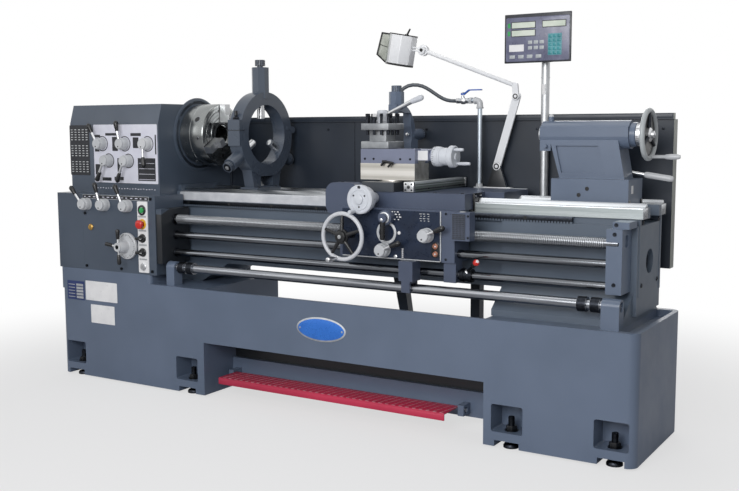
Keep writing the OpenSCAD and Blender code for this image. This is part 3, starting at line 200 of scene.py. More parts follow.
def toAxis(start, axis):
    if axis[0] or axis[1]:
        turn = Vector(axis).to_track_quat("Z", "Y").to_matrix().to_4x4()
    else:
        turn = Matrix.Rotation(0 if axis[2] > 0 else math.pi, 4, "X")
    return Matrix.Translation(at(*start)) @ turn


# materials


def hexToLinear(code):
    parts = [int(code[i:i + 2], 16) / 255 for i in (1, 3, 5)]
    return (*[c / 12.92 if c <= 0.04045 else ((c + 0.055) / 1.055) ** 2.4 for c in parts], 1)


def addNode(tree, kind, settings=None, links=None, **attributes):
    node = tree.nodes.new("ShaderNode" + kind)
    for key, value in attributes.items():
        setattr(node, key, value)
    for key, value in (settings or {}).items():
        node.inputs[key].default_value = value
    for key, source in (links or {}).items():
        tree.links.new(source, node.inputs[key])
    return node


def startMaterial(name, colour, **settings):
    material = bpy.data.materials.new(name)
    material.use_nodes = True
    tree = material.node_tree
    shader = tree.nodes["Principled BSDF"]
    shader.inputs["Base Color"].default_value = hexToLinear(colour)
    for key, value in settings.items():
        shader.inputs[key].default_value = value
    material.diffuse_color = hexToLinear(colour)
    place = addNode(tree, "TexCoord").outputs["Object"]
    return material, tree, shader, place


def bump(tree, shader, height, strength, mm):
    made = addNode(tree, "Bump", {"Strength": strength, "Distance": mm / 1000}, {"Height": height})
    tree.links.new(made.outputs["Normal"], shader.inputs["Normal"])


def tone(tree, shader, place, low, high, size, socket="Base Color", detail=4, stretch=(1, 1, 1)):
    # slow drift between two colours or roughnesses, in patches of the given size in millimetres
    spread = addNode(tree, "Mapping", {"Scale": stretch}, {"Vector": place})
    noise = addNode(tree, "TexNoise", {"Scale": 1000 / size, "Detail": detail, "Roughness": 0.55},
                    {"Vector": spread.outputs["Vector"]})
    ramp = addNode(tree, "ValToRGB", links={"Fac": noise.outputs["Fac"]})
    ramp.color_ramp.elements[0].position, ramp.color_ramp.elements[1].position = 0.34, 0.66
    for element, value in zip(ramp.color_ramp.elements, (low, high)):
        element.color = hexToLinear(value) if isinstance(value, str) else (value, value, value, 1)
    tree.links.new(ramp.outputs["Color"], shader.inputs[socket])
    return ramp


def machineEnamel(name, dark, light, rough=(0.3, 0.42), peel=9, dimple=0.2):
    # two-pack enamel sprayed on filled cast iron: an even satin gloss with a faint orange peel, its 2 mm
    # dimples drawn 9 mm wide so that they show, and slow cloudy patches where the filler was rubbed down
    material, tree, shader, place = startMaterial(name, light,
                                                  **{"IOR": 1.5, "Coat Weight": 0.12, "Coat Roughness": 0.2})
    tone(tree, shader, place, dark, light, 420, detail=3)
    tone(tree, shader, place, rough[0], rough[1], 160, "Roughness")
    noise = addNode(tree, "TexNoise", {"Scale": 1000 / peel, "Detail": 2}, {"Vector": place})
    bump(tree, shader, noise.outputs["Fac"], dimple, 0.25)
    return material


def groundMetal(name, dark, light, rough, along, pitch=5):
    # surface-ground or turned steel: fine streaks along the tool's path, 0.3 mm apart in truth, drawn at
    # a few mm
    material, tree, shader, place = startMaterial(name, light, Metallic=1)
    stretch = {"x": (0.02, 1, 1), "y": (1, 0.02, 1), "z": (1, 1, 0.02), "": (1, 1, 1)}[along]
    tone(tree, shader, place, dark, light, pitch, detail=5, stretch=stretch)
    tone(tree, shader, place, rough[0], rough[1], pitch * 2, "Roughness", stretch=stretch)
    return material


def turnedMetal(name, dark, light, rough, axis, centre, pitch=3):
    # faced on a lathe: rings round the centre, the tool's 0.2 mm feed drawn a few mm apart
    material, tree, shader, place = startMaterial(name, light, Metallic=1)
    moved = addNode(tree, "Mapping", {"Location": tuple(-c for c in centre)}, {"Vector": place})
    settings = {"Scale": 2000 / pitch / 6.2832, "Distortion": 1.4, "Detail": 3, "Detail Scale": 0.6}
    rings = addNode(tree, "TexWave", settings, {"Vector": moved.outputs["Vector"]}, wave_type="RINGS",
                    rings_direction=axis.upper())
    ramp = addNode(tree, "ValToRGB", links={"Fac": rings.outputs["Fac"]})
    for element, colour in zip(ramp.color_ramp.elements, (dark, light)):
        element.color = hexToLinear(colour)
    tree.links.new(ramp.outputs["Color"], shader.inputs["Base Color"])
    tone(tree, shader, place, rough[0], rough[1], 30, "Roughness")
    return material


def moulded(name, dark, light, rough, grain=4, depth=0.15, **more):
    # moulded plastic or rubber: one colour right through, a soft sheen and a fine spark-eroded grain drawn
    # 4 mm wide
    material, tree, shader, place = startMaterial(name, light, **more)
    tone(tree, shader, place, dark, light, 60)
    tone(tree, shader, place, rough - 0.05, rough + 0.06, 25, "Roughness")
    noise = addNode(tree, "TexNoise", {"Scale": 1000 / grain, "Detail": 3}, {"Vector": place})
    bump(tree, shader, noise.outputs["Fac"], 0.3, depth)
    return material


paint = machineEnamel("blueGreyEnamel", "#5b687c", "#637085")
# the same blue-grey enamel made darker for the headstock, gearbox, end gear cover and nose ring: painted
# shade
headShadedPaint = machineEnamel("headstockEnamelPaintedShade", "#424c5a", "#4a5564")
carriagePaint = machineEnamel("carriageEnamel", "#434c60", "#4f596e")
# the same blue-grey enamel made darker for the steady rest: painted shade
restShadedPaint = machineEnamel("restEnamelPaintedShade", "#414a58", "#4a5462", (0.24, 0.36))
guardPaint = machineEnamel("guardEnamel", "#19212c", "#202936", (0.4, 0.52))
endPaint = machineEnamel("columnEnamel", "#56616f", "#5f6b7a")
navyPlate = moulded("navyApronPlate", "#1b2537", "#222e44", 0.3, Metallic=0.3)
paleEnamel = machineEnamel("paleEnamel", "#c3c6cc", "#d2d4d8")
whitePlate = moulded("printedAluminiumPlate", "#d8d9e6", "#e2e3ee", 0.34)
plainWhite = moulded("whitePlate", "#e6e6e8", "#f0f0f1", 0.32)
labelInk = moulded("etchedInk", "#1a1c22", "#24262d", 0.42)
bluePlate = moulded("anodisedBluePlate", "#2f72cf", "#3478d6", 0.28, Metallic=0.2)
darkBluePlate = moulded("enamelledBluePlate", "#20305f", "#29396c", 0.35)
groundWay = groundMetal("groundWay", "#a4a8ac", "#c6c9cc", (0.22, 0.34), "x")
# a lighter copy of the ground way's steel: painted highlight
wayPaintedHighlight = moulded("groundWayPaintedHighlight", "#cdd0d6", "#e4e6ea", 0.34, 30, 0.1, Metallic=0.35)
wayFace = groundMetal("wayFace", "#949b9c", "#abb1b2", (0.42, 0.54), "x", 9)
slideSteel = machineEnamel("oiledSlide", "#34383e", "#41464d", (0.36, 0.46), 9, 0.05)
barSteel = groundMetal("brightBar", "#7b7e84", "#a9acb1", (0.2, 0.34), "x", 7)
threadSteel = groundMetal("rolledThread", "#8d9095", "#b5b8bb", (0.24, 0.36), "x", 7)
# bright steel bar, its colour darkened to stand for a dark room seen in it: painted reflection
rodDarkReflection = groundMetal("rodPaintedDarkReflection", "#5c5f64", "#8b8e93", (0.13, 0.2), "x", 7)
copperUnion = groundMetal("copperUnion", "#b07a66", "#cf9c88", (0.26, 0.36), "", 6)
pipeZinc = groundMetal("zincPipe", "#aab4be", "#c6ced6", (0.42, 0.55), "z", 14)
scaleGrey = machineEnamel("scaleEnamel", "#59615f", "#6a7370", (0.36, 0.48), 5)
scaleTop = machineEnamel("paleAnodised", "#a7adb0", "#bcc1c4", (0.34, 0.44), 5)
grilleGrey = moulded("grilleWire", "#3c4250", "#4a5162", 0.45)
lampWhite = machineEnamel("lampEnamel", "#eceef2", "#f6f7f9", (0.28, 0.4), 8, 0.03)
wheelSilver = machineEnamel("paleHandwheelLacquer", "#c4c8d0", "#d4d8df", (0.4, 0.5), 9, 0.04)
lampGlass = moulded("ribbedLampGlass", "#9fa39a", "#c2c6bd", 0.2, 9, 0.5)
bezelGrey = moulded("bezelPlastic", "#23252c", "#2f323a", 0.36)
panelGrey = moulded("panelFilm", "#5f6179", "#777a92", 0.3)
keypadFrame = moulded("keypadFrame", "#4c8f9a", "#62a5ae", 0.34)
wheelGrey = machineEnamel("wheelEnamel", "#a4aaad", "#b9bec0", (0.34, 0.46), 6, 0.05)
slideEnamel = machineEnamel("slideEnamel", "#6f7589", "#7c8298", (0.36, 0.46), 6)
postGrey = machineEnamel("postEnamel", "#8d918b", "#a1a59e", (0.4, 0.52), 7)
hubFinish = machineEnamel("silverLacquer", "#b9bcc0", "#cfd1d4", (0.34, 0.46), 6, 0.05)
satinChrome = groundMetal("satinChrome", "#c4c6c8", "#d6d7d9", (0.27, 0.33), "", 60)
castAluminium = groundMetal("castAluminium", "#b9bcbf", "#c9cbcd", (0.42, 0.5), "", 30)
oiledSteel = groundMetal("blackedSteel", "#23252a", "#34373d", (0.3, 0.46), "", 9)
blackPhenolic = moulded("blackPhenolic", "#111214", "#1a1b1e", 0.3)
# near-black enamel; on the sheet behind the treadle and on the rods' casing its darkness is painted shade
darkEnamelAndShade = machineEnamel("darkEnamelAndPaintedShade", "#121519", "#1b1f25", (0.34, 0.5))
rubberHose = moulded("nitrileHose", "#3f444b", "#555b63", 0.4)
redPaint = machineEnamel("treadleRed", "#ab2142", "#c42f50", (0.36, 0.5))
paleMark = moulded("paleTreadLine", "#c98a96", "#d8a3ad", 0.5)
redKnob = moulded("redKnob", "#c32620", "#d5302a", 0.26)
greenCap = moulded("greenCap", "#2f9a52", "#3aae60", 0.3)
yellowRing = moulded("yellowRing", "#d9a51e", "#e6b52c", 0.36)
blueLever = moulded("blueDippedLever", "#1d4fa8", "#2560bd", 0.36)
creamSteel = groundMetal("scrapedSteel", "#cdc9c0", "#efece6", (0.28, 0.38), "x", 26)
# turned chuck steel, its colours darkened to stand for a dark room seen in it: painted reflection
chuckSteel = turnedMetal("turnedChuckDarkReflection", "#8b8e8e", "#aaacab", (0.2, 0.28), "x", at(-740, 360, 1168), 16)
toolSteel = moulded("blastedSteel", "#84878b", "#a5a8ab", 0.5, 6, 0.6, Metallic=0.7)
screenGlass = moulded("displayGlass", "#ccd6c8", "#dfe5da", 0.14)
keypadFilm = moulded("tealKeypad", "#2b7f86", "#35929a", 0.34)
brass = groundMetal("castBrass", "#b08a4a", "#cda866", (0.3, 0.4), "", 8)
print("materials ready")

# the hose gets its rubber and its nozzle
hoseCurve.materials.append(rubberHose)
tip = hosePoints[-1] * 1000 - zero * 1000
nozzle = Shape()
nozzle.turned([(0, 0), (10, 0), (11, 2), (11, 22), (10, 24), (0, 24)], (tip.x, tip.y, tip.z + 1), downward,
              oiledSteel, 6)
nozzle.turned([(0, 24), (9, 24), (9, 26), (7.5, 40), (5, 50), (3, 50), (3, 30), (0, 30)],
              (tip.x, tip.y, tip.z + 1), downward, satinChrome, 20)
nozzle = nozzle.done("coolantNozzle", "carriage")
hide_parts("coolant_hose")
print("hose and nozzle")


# the CAD nodes that stay in view


def dress(name, finish, edge):
    node = nodes[name]
    node.data.materials.clear()
    node.data.materials.append(finish)
    node.data.shade_smooth()
    weld = node.modifiers.new("weld", "WELD")
    weld.merge_threshold = 0.00003
    if edge:
        bevel = node.modifiers.new("edges", "BEVEL")
        bevel.width, bevel.segments = edge / 1000, 2
        bevel.limit_method, bevel.angle_limit = "ANGLE", math.radians(50)
        bevel.use_clamp_overlap = True
    split = node.modifiers.new("creases", "EDGE_SPLIT")
    split.split_angle = math.radians(32)
    # large faces stay flat beside their rounded edges
    node.modifiers.new("flatFaces", "WEIGHTED_NORMAL")


# each one's finish and the rounding of its edges in millimetres
keptNodes = {
    "base": (paint, 4), "bed": (endPaint, 2), "headstock": (headShadedPaint, 3), "gearbox": (headShadedPaint, 3),
    "rod_brackets": (paint, 1), "splash_guard": (guardPaint, 0), "main_motor": (oiledSteel, 0),
    "readout_post": (castAluminium, 0), "end_gear_cover": (headShadedPaint, 3), "spindle": (castAluminium, 0),
    "chuck_jaw_1": (satinChrome, 0), "chuck_jaw_2": (satinChrome, 0), "chuck_jaw_3": (satinChrome, 0),
    "feed_rod": (rodDarkReflection, 0), "control_rod": (rodDarkReflection, 0), "stop_rod": (barSteel, 0),
    "saddle": (carriagePaint, 2), "apron": (carriagePaint, 2), "follow_rest": (paint, 2),
    "steady_base": (restShadedPaint, 2), "steady_top": (restShadedPaint, 2), "tailstock_body": (paint, 2),
    "cross_slide": (slideSteel, 1), "compound_base": (creamSteel, 1), "compound_slide": (slideEnamel, 1),
    "valve_lever": (blueLever, 0), "lamp_lower_arm": (lampWhite, 1), "lamp_upper_arm": (lampWhite, 1),
    "quill": (groundWay, 0),
}
for name, (finish, edge) in keptNodes.items():
    dress(name, finish, edge)
print("CAD nodes dressed")

# levers with a hub, for the headstock, the gearbox and the apron

leverHub = {"barrel": 28, "cap": 24, "arm": 6, "grip": 11.5}


def hubLever(name, spot, face, angle, reach):
    x, z = spot
    way = (math.cos(math.radians(angle)), 0, math.sin(math.radians(angle)))
    hub, cap, grip = leverHub["barrel"], leverHub["cap"], leverHub["grip"]
    stations = ((cap - 3, 38), (reach - 42, 39), (reach - 44, 39))
    armStart, armEnd, gripStart = ((x + way[0] * r, face - y, z + way[2] * r) for r, y in stations)
    lever = Shape()
    lever.turned([(0, 0.4), (hub + 1, 0.4), (hub + 1, 5), (hub - 1, 6), (hub - 1, 9), (hub, 10), (hub, 30),
                  (hub - 2.5, 34), (cap, 34), (cap, 43), (cap - 2.5, 46), (0, 46)], (x, face, z), forward,
                  hubFinish)
    lever.turned([(0, 45), (3.4, 45), (3.4, 46.6), (0, 46.8)], (x - 2, face, z - 13), forward, blackPhenolic,
                 12)
    lever.rod(armStart, armEnd, leverHub["arm"], satinChrome)
    lever.turned([(0, 0), (7, 0), (7.6, 2), (8.4, 5), (grip, 34), (grip, 40), (8.6, 45), (5, 48.5),
                  (0, 49.5)], gripStart, way, blackPhenolic, 20)
    lever.done(name, name, name)


# each lever's hub, the face it stands on, its angle and its reach
leverPlaces = {
    "speed_lever_1": ((-1193, 1128), 83, 120, 104), "speed_lever_2": ((-1046, 1128), 83, 100, 104),
    "speed_lever_3": ((-901, 1128), 83, -86, 104), "thread_lever_1": ((-1153, 1048), 83, -116, 104),
    "thread_lever_2": ((-1025, 1048), 83, -113, 104), "feed_lever_1": ((-1220, 845), 0, 130, 104),
    "feed_lever_2": ((-1101, 845), 0, 106, 104), "feed_lever_3": ((-955, 845), 0, 115, 104),
    "half_nut_lever": ((576, 782), 57, 22, 96), "feed_engage_lever": ((383, 715), 57, 21, 96),
}
for name, (hub, face, angle, reach) in leverPlaces.items():
    hubLever(name, hub, face, angle, reach)

# feed selector with its graduated rim and three arms

feedDial = {"centre": (-962, 659), "rim": 61, "arms": (92, 172, -88), "marks": 36}
x, z = feedDial["centre"]
dial = Shape()
dial.turned([(0, 1), (58, 1), (feedDial["rim"], 4), (feedDial["rim"], 14), (57, 17), (44, 17), (43, 18.5),
             (30, 19), (27, 22), (26, 30), (25, 60), (22, 64), (20, 74), (0, 74)], (x, 0, z), forward,
             hubFinish, 64)
for i in range(feedDial["marks"]):
    a = math.tau * i / feedDial["marks"]
    inner = 50 if i % 3 else 46
    ends = [(x + r * math.cos(a), -17.2, z + r * math.sin(a)) for r in (inner, 56)]
    dial.rod(*ends, 0.9, labelInk, edge=0.1, steps=6)
for angle in feedDial["arms"]:
    a = math.radians(angle)
    d = (math.cos(a), 0, math.sin(a))
    dial.rod((x, -64, z), (x + 40 * d[0], -64, z + 40 * d[2]), 6.5, satinChrome, 5.5)
    dial.turned([(0, 0), (6.5, 0), (8, 4), (10, 36), (8.5, 43), (4, 46), (0, 46.5)],
                (x + 36 * d[0], -64, z + 36 * d[2]), d, blackPhenolic, 20)
dial.turned([(0, 74), (7, 74), (7, 75.5), (0, 75.5)], (x, 0, z), forward, oiledSteel, 16)
dial.done("feed_dial", "feed_dial", "feed_dial")
print("levers and dial")

# plates on the headstock, the gearbox and the base: blank fields where the printing was


def plate(shape, low, high, y, finish, thick=1.6, corner=4):
    return shape.block((low[0], y - thick, low[1]), (high[0], y, high[1]), finish, 0.4, 1, corner, "y")


headFace = 83.1
sheet = Shape()
plate(sheet, (-1252, 943), (-842, 1218), headFace, whitePlate, 1.8, 6)
y = headFace - 1.8
# where words stood: left, low, right and high of each bar
inkBars = ((-1244, 1158, -1206, 1170), (-1244, 1090, -1214, 1152), (-1172, 1166, -1090, 1178),
           (-1128, 1094, -1092, 1160), (-1008, 1164, -942, 1178), (-994, 1108, -958, 1158),
           (-856, 1080, -848, 1170), (-1244, 980, -1206, 1030), (-1098, 996, -1072, 1060),
           (-1120, 956, -1060, 972), (-966, 956, -856, 1062), (-1200, 952, -1140, 968))
for left, low, right, high in inkBars:
    plate(sheet, (left, low), (right, high), y, labelInk, 0.5, 2)
for i in range(4):
    plate(sheet, (-960, 962 + i * 25), (-862, 964 + i * 25), y - 0.5, whitePlate, 0.3, 0)
for name, r in (("speed_lever_1", 36), ("speed_lever_2", 36), ("speed_lever_3", 36), ("thread_lever_1", 34),
                ("thread_lever_2", 34)):
    x, z = leverPlaces[name][0]
    sheet.turned([(r - 4, 1.7), (r, 1.7), (r, 2.4), (r - 4, 2.4)], (x, headFace, z), forward, labelInk, 40)
sheet.turned([(10, 1.7), (17, 1.7), (17, 4), (10, 4)], (-1098, headFace, 1128), forward, labelInk, 28)
sheet.done("headstockPlate", "machine")

strip = Shape()
for i in range(22):
    plate(strip, (-1236 + i * 17.5, 914 + i % 3), (-1236 + i * 17.5 + 6 + i % 4, 918 + i % 3), 82.8,
          whitePlate, 0.5, 0)
strip.done("headstockIndex", "machine")

strip = Shape()
plate(strip, (-1251, 870), (-827, 890), 0, castAluminium, 0.8, 2)
plate(strip, (-1249, 872), (-829, 888), -0.8, labelInk, 0.8, 1)
for i in range(14):
    plate(strip, (-1240 + i * 30, 878), (-1230 + i * 30 + i % 3 * 3, 882), -1.6, whitePlate, 0.4, 0)
strip.done("gearboxIndex", "machine")

table = Shape()
plate(table, (-1415, 975), (-1282, 1216), headFace, labelInk, 1.4, 5)
for row in range(3):
    for col in range(5):
        left, low = -1409 + col * 25, 984 + row * 77
        plate(table, (left, low), (left + 21, low + 66), 81.7, darkEnamelAndShade, 0.4, 1)
        for step in range(5):
            dash = low + 6 + step * 12
            plate(table, (left + 4, dash), (left + 17, dash + 4), 81.3, castAluminium, 0.3, 0)
table.done("speedTable", "cover")

base = Shape()
plate(base, (-1378, 376), (-1262, 468), 0, darkBluePlate, 1.4, 4)
for i in range(5):
    plate(base, (-1370, 388 + i * 15), (-1326, 391 + i * 15), -1.4, castAluminium, 0.3, 0)
    plate(base, (-1316, 384 + i * 15), (-1270, 395 + i * 15), -1.4, castAluminium, 0.3, 0)
base.done("ratingPlate", "machine")
for name, low, high in (("blankPlateUpper", (-1253, 381), (-1045, 475)),
                        ("blankPlateLower", (-1222, 273), (-1066, 362))):
    base = Shape()
    plate(base, low, high, 0, plainWhite, 1.2, 3)
    base.done(name, "machine")


def ellipse(a, b):
    return [(a * math.cos(math.tau * i / 48), b * math.sin(math.tau * i / 48)) for i in range(48)]


badge = Shape()
badge.prism(ellipse(122, 51), (112, 0, 373), forward, 1.6, castAluminium, 0.5)
badge.prism(ellipse(114, 44), (112, -1.6, 373), forward, 0.8, bluePlate, 0.3)
for s in (-1, 1):
    badge.turned([(0, 0), (4.5, 0), (4, 1.6), (0, 2.2)], (112 + s * 104, -2.4, 373), forward, satinChrome, 14)
badge.done("ovalPlate", "machine")
print("plates")

# push buttons, selector knobs and pilot lamp on the control strip

strip = Shape()
strip.block((-896, -5, 540), (-834, 6, 868), plainWhite, 1, 2, 5, "y")
x = -866
for z, ring in ((828, darkEnamelAndShade), (764, yellowRing)):
    strip.turned([(15, 4.6), (24, 4.6), (24, 7), (21.5, 8.6), (15, 8.6)], (x, 0, z), forward, ring, 36)
for z in (699, 634):
    strip.turned([(0, 5), (20, 5), (20, 9), (18, 11), (15, 12), (14, 22), (0, 22)], (x, 0, z), forward,
                 blackPhenolic, 36)
    strip.block((x - 22, -35.5, z - 6), (x + 22, -21, z + 6), blackPhenolic, 3, 3)
    strip.block((x + 8, -35.9, z - 1), (x + 20, -35.4, z + 1), plainWhite, 0, 1)
strip.turned([(0, 5), (18, 5), (18, 8), (15, 9.5), (14, 9), (13, 12), (0, 13)], (x, 0, 568), forward,
             satinChrome, 30)
for z in (799, 734, 668, 602):
    plate(strip, (-890, z - 4), (-842, z + 4), -5, castAluminium, 0.5, 1)
strip.done("controlStrip", "machine", "control_panel")
button = Shape()
button.turned([(0, 1), (12.6, 1), (12.6, 10), (11.5, 11.7), (9, 12), (0, 12)], (x, 0, 828), forward, greenCap,
              28)
button.done("startButton", "start_button", "start_button")
button = Shape()
button.turned([(0, 1), (12.6, 1), (12.6, 18), (19, 20), (21, 24), (20.5, 30), (16, 34.5), (8, 36), (0, 36)],
              (x, 0, 764), forward, redKnob, 32)
button.done("stopButton", "stop_button", "stop_button")

# small fittings on the gearbox front
fittings = Shape()
fittings.turned([(0, 0), (15, 0), (15, 4), (12, 7), (0, 8)], (-1203, 0, 735), forward, brass, 24)
for x, z in ((-1238, 548), (-1238, 800), (-1010, 548), (-815, 548), (-815, 880)):
    fittings.turned([(3, 5), (7, 5), (7, 0), (0, 0), (0, 1.5), (3, 1.5)], (x, 0.3, z), forward, oiledSteel,
                    14)
fittings.done("gearboxFittings", "machine")
print("control strip")

# carriage handwheel


def ringTube(shape, centre, axis, radius, halfWide, halfDeep, finish):
    corners = [math.tau * i / 16 for i in range(16)]
    loop = [(radius + halfWide * math.cos(a), halfDeep * math.sin(a)) for a in corners]
    return shape.turned(loop, centre, axis, finish, 72)


# engraved lines round a collar that turns about X or Y, every few of them longer
def dialMarks(shape, centre, about, radius, count, every, long, short):
    x, y, z = centre
    for i in range(count):
        a = math.tau * i / count
        c, s = radius * math.cos(a), radius * math.sin(a)
        reach = short if i % every else long
        if about == "x":
            ends = (x, y + c, z + s), (x + reach, y + c, z + s)
        else:
            ends = (x + c, y, z + s), (x + c, y + reach, z + s)
        shape.rod(*ends, 0.8, labelInk, edge=0.1, steps=5)


wheel = Shape()
cx, cy, cz = 233, -20, 767
ringTube(wheel, (cx, cy, cz), forward, 91.5, 8.5, 8.5, paleEnamel)
wheel.turned([(0, -78), (12, -78), (12, -6), (30, -4), (30, 8), (27, 12), (24, 12), (23, 20), (16, 22),
              (0, 22)], (cx, cy, cz), forward, blackPhenolic, 40)
wheel.turned([(0, 21.6), (9, 21.6), (8.4, 25), (0, 26)], (cx, cy, cz), forward, satinChrome, 6)
for i in range(5):
    a = math.radians(90 + 72 * i)
    d = (math.cos(a), math.sin(a))
    wheel.rod((cx + 22 * d[0], cy - 4, cz + 22 * d[1]), (cx + 85 * d[0], cy, cz + 85 * d[1]), 9,
              blackPhenolic, 6)
    b = math.radians(54 + 72 * i)
    wheel.turned([(0, 0), (3.2, 0), (3.2, 2.6), (0, 3)],
                 (cx + 19 * math.cos(b), -31.6, cz + 19 * math.sin(b)), forward, satinChrome, 10)
wheel.turned([(0, 0), (9, 0), (9, 4), (6, 5), (6, 22), (8, 26), (11, 44), (11, 60), (9, 72), (5, 74),
              (0, 74)], (cx - 24, cy, cz - 88), forward, satinChrome, 24)
wheel.done("carriageHandwheel", "carriage_handwheel", "carriage_handwheel")

# cross feed wheel: dished disc, graduated collar and crank
wheel = Shape()
cx, cz = 297, 915
wheel.turned([(0, 6), (15, 6), (19, 4), (20, 1), (20, -3), (23, -4), (36, -4), (38, -1.6), (42, -1.6),
              (44, -4), (54, -4), (58, -7), (58, -23), (54, -26), (0, -26)], (cx, 0, cz), forward,
              wheelSilver, 64)
wheel.turned([(0, -26), (50, -26), (50, -52), (47, -55), (24, -55), (24, -118), (12, -119), (12, -178),
              (0, -178)], (cx, 0, cz), forward, wheelSilver, 64)
dialMarks(wheel, (cx, 28, cz), "y", 50.1, 40, 5, 12, 7)
for i in range(3):
    a = math.radians(30 + 120 * i)
    wheel.turned([(0, 0), (4, 0), (4, 0.8), (0, 1)], (cx + 30 * math.cos(a), 4.1, cz + 30 * math.sin(a)),
                 forward, labelInk, 12)
wheel.turned([(0, 0), (7, 0), (7, 0.8), (0, 1)], (cx, 4.1, cz + 48), forward, labelInk, 16)
wheel.turned([(0, -6), (5, -6), (5, 8), (8, 10), (9, 30), (7, 41), (0, 42)], (cx - 18, 0, cz - 48), forward,
             wheelSilver, 24)
wheel.done("crossFeedWheel", "cross_handwheel", "cross_handwheel")

# compound slide wheel, along the slide
wheel = Shape()
cx, cy, cz = 508.3, 250, 1081
wheel.turned([(0, -38), (9, -38), (9, 0), (40, 0), (40, 24), (38, 26), (38, 32), (35, 34), (35, 64), (40, 66),
              (44, 70), (44, 88), (41, 92), (14, 92), (12, 96), (0, 96)], (cx, cy, cz), rightward,
              wheelSilver, 56)
dialMarks(wheel, (cx + 2.2, cy, cz), "x", 40.1, 32, 4, 11, 6)
for s, far in ((1, 149.5), (-1, 131.5)):
    wheel.turned([(0, 88), (5, 88), (5, 96), (6.5, 100), (7, far - 14), (5.5, far), (0, far)],
                 (cx, cy + s * 12, cz - s * 28), rightward, wheelSilver, 20)
wheel.done("compoundWheel", "compound_handwheel", "compound_handwheel")
print("handwheels")

# chuck body with its key sockets and jaw ways, and the ring on the spindle nose

chuck = {"back": -826, "face": -688}
body = Shape()
body.turned([(43, 0), (139, 0), (139, 17), (141, 18.5), (144, 19), (144, 60), (142.5, 61.5), (142.5, 66),
             (144, 67.5), (144, 132), (141, 137), (138, 138), (118, 138), (117, 135.5), (112, 135.5),
             (111, 138), (84, 138), (83, 136), (79, 136), (78, 138), (46, 138), (43, 135)],
             (chuck["back"], spindleY, spindleZ), rightward, chuckSteel, 96)
for i in range(3):
    for turn, r, deep in ((60 + 120 * i, 13, 96), (30 + 120 * i, 5.5, 40), (96 + 120 * i, 4.5, 112)):
        a = math.radians(turn)
        d = (0, -math.sin(a), math.cos(a))
        spot = (chuck["back"] + deep, spindleY + 143 * d[1], spindleZ + 143 * d[2])
        body.turned([(0, 0.5), (r, 0.5), (r, 1.8), (0, 1.8)], spot, d, blackPhenolic, 20)
        body.turned([(r, 0.2), (r + 2.4, 0.2), (r + 2.4, 1.4), (r, 1.9)], spot, d, barSteel, 24)
    a = math.radians(60 + 120 * i)
    d = (0, -math.sin(a), math.cos(a))
    for r in (98, 66):
        spot = (chuck["face"] - 0.2, spindleY + r * d[1], spindleZ + r * d[2])
        body.turned([(0, 0), (8, 0), (8, 0.7), (0, 0.7)], spot, rightward, blackPhenolic, 18)
for i in range(3):
    middle, third = at(0, spindleY, spindleZ), Matrix.Rotation(math.radians(120 * i), 4, "X")
    turn = Matrix.Translation(middle) @ third @ Matrix.Translation(-middle)
    for s in (-1, 1):
        body.block((-690, spindleY + s * 20 - 1.2, 1214), (-687.4, spindleY + s * 20 + 1.2, 1309),
                   blackPhenolic, 0, turn=turn)
    body.block((-690, 341, 1262), (-687.8, 379, 1309), oiledSteel, 0, turn=turn)
body.done("chuckBody", "spindle", "chuck_body")

ring = Shape()
ring.turned([(146, 0), (164, 0), (164, 4.2), (161, 6.2), (148, 6.2), (146, 4)], (-835.2, spindleY, spindleZ),
            rightward, castAluminium, 80)
ring.turned([(164.4, -0.5), (175, -0.5), (175, 1.6), (172, 3.6), (164.4, 3.6)], (-835.2, spindleY, spindleZ),
            rightward, headShadedPaint, 80)
ring.done("noseRing", "machine")

# ground ways, the rack and the casing that the rods come out of

ways = {"start": -816, "end": 1372.6, "top": 905.4}
rail = Shape()
for y0, y1, vee in ((199.5, 260.4, 240), (439.6, 500.5, 460)):
    rail.block((ways["start"], y0, 865.4), (ways["end"], y1, ways["top"]), groundWay, 1)
    rail.prism([(vee - 18.4, 905), (vee, 921.5), (vee + 18.4, 905), (vee, 903)], (ways["start"], 0, 0),
               rightward, ways["end"] - ways["start"], groundWay, 0.6)
rail.block((60, 199, 866), (ways["end"] + 0.2, 200, 903.6), wayFace, 0.3, 1)
# left of X 60 the way's front face and a strip along its top edge are lighter: painted highlight on the same
# ground steel
rail.block((ways["start"] - 0.6, 199, 866), (60, 200, 903.6), wayPaintedHighlight, 0.3, 1)
rail.block((ways["start"], 200, 905.2), (60, 220, 905.8), wayPaintedHighlight, 0.2, 1)
rail.done("groundWays", "machine")

rackSizes = {"start": -789, "end": 1112, "pitch": 12}
rack = Shape()
rack.block((rackSizes["start"], 187.4, 847), (rackSizes["end"], 199, 864.6), oiledSteel, 0.6)
teeth = int((rackSizes["end"] - rackSizes["start"]) / rackSizes["pitch"])
for i in range(teeth):
    x = rackSizes["start"] + 2 + i * rackSizes["pitch"]
    rack.prism([(x, 847.5), (x + 6.5, 847.5), (x + 5, 840), (x + 1.5, 840)], (0, 199, 0), forward, 11.6,
               oiledSteel, 0)
for i in range(8):
    x = rackSizes["start"] + 35 + i * 240
    rack.turned([(0, 0), (7, 0), (7, 1), (3, 1), (3, 0.4), (0, 0.4)], (x, 187.6, 856), forward, blackPhenolic,
                14)
rack.done("feedRack", "machine")

# a near-black casing on the gearbox's end where the rods come out; its colour is painted shade of that shaded
# end
casing = Shape()
casing.prism([(3.2, 585.4), (190.5, 585.4), (190.5, 835.6), (60, 835.6), (3.2, 812)], (-790.2, 0, 0),
             rightward, 33.8, darkEnamelAndShade, 2)
for z, r in ((leadscrewZ, 27), (feedRodZ, 22), (controlRodZ, 22)):
    casing.turned([(r - 5.5, 0), (r, 0), (r, 3), (r - 2, 4.5), (r - 5.5, 4.5)], (-756.5, rodsY, z), rightward,
                  oiledSteel, 32)
casing.done("shadedRodCasing", "machine")

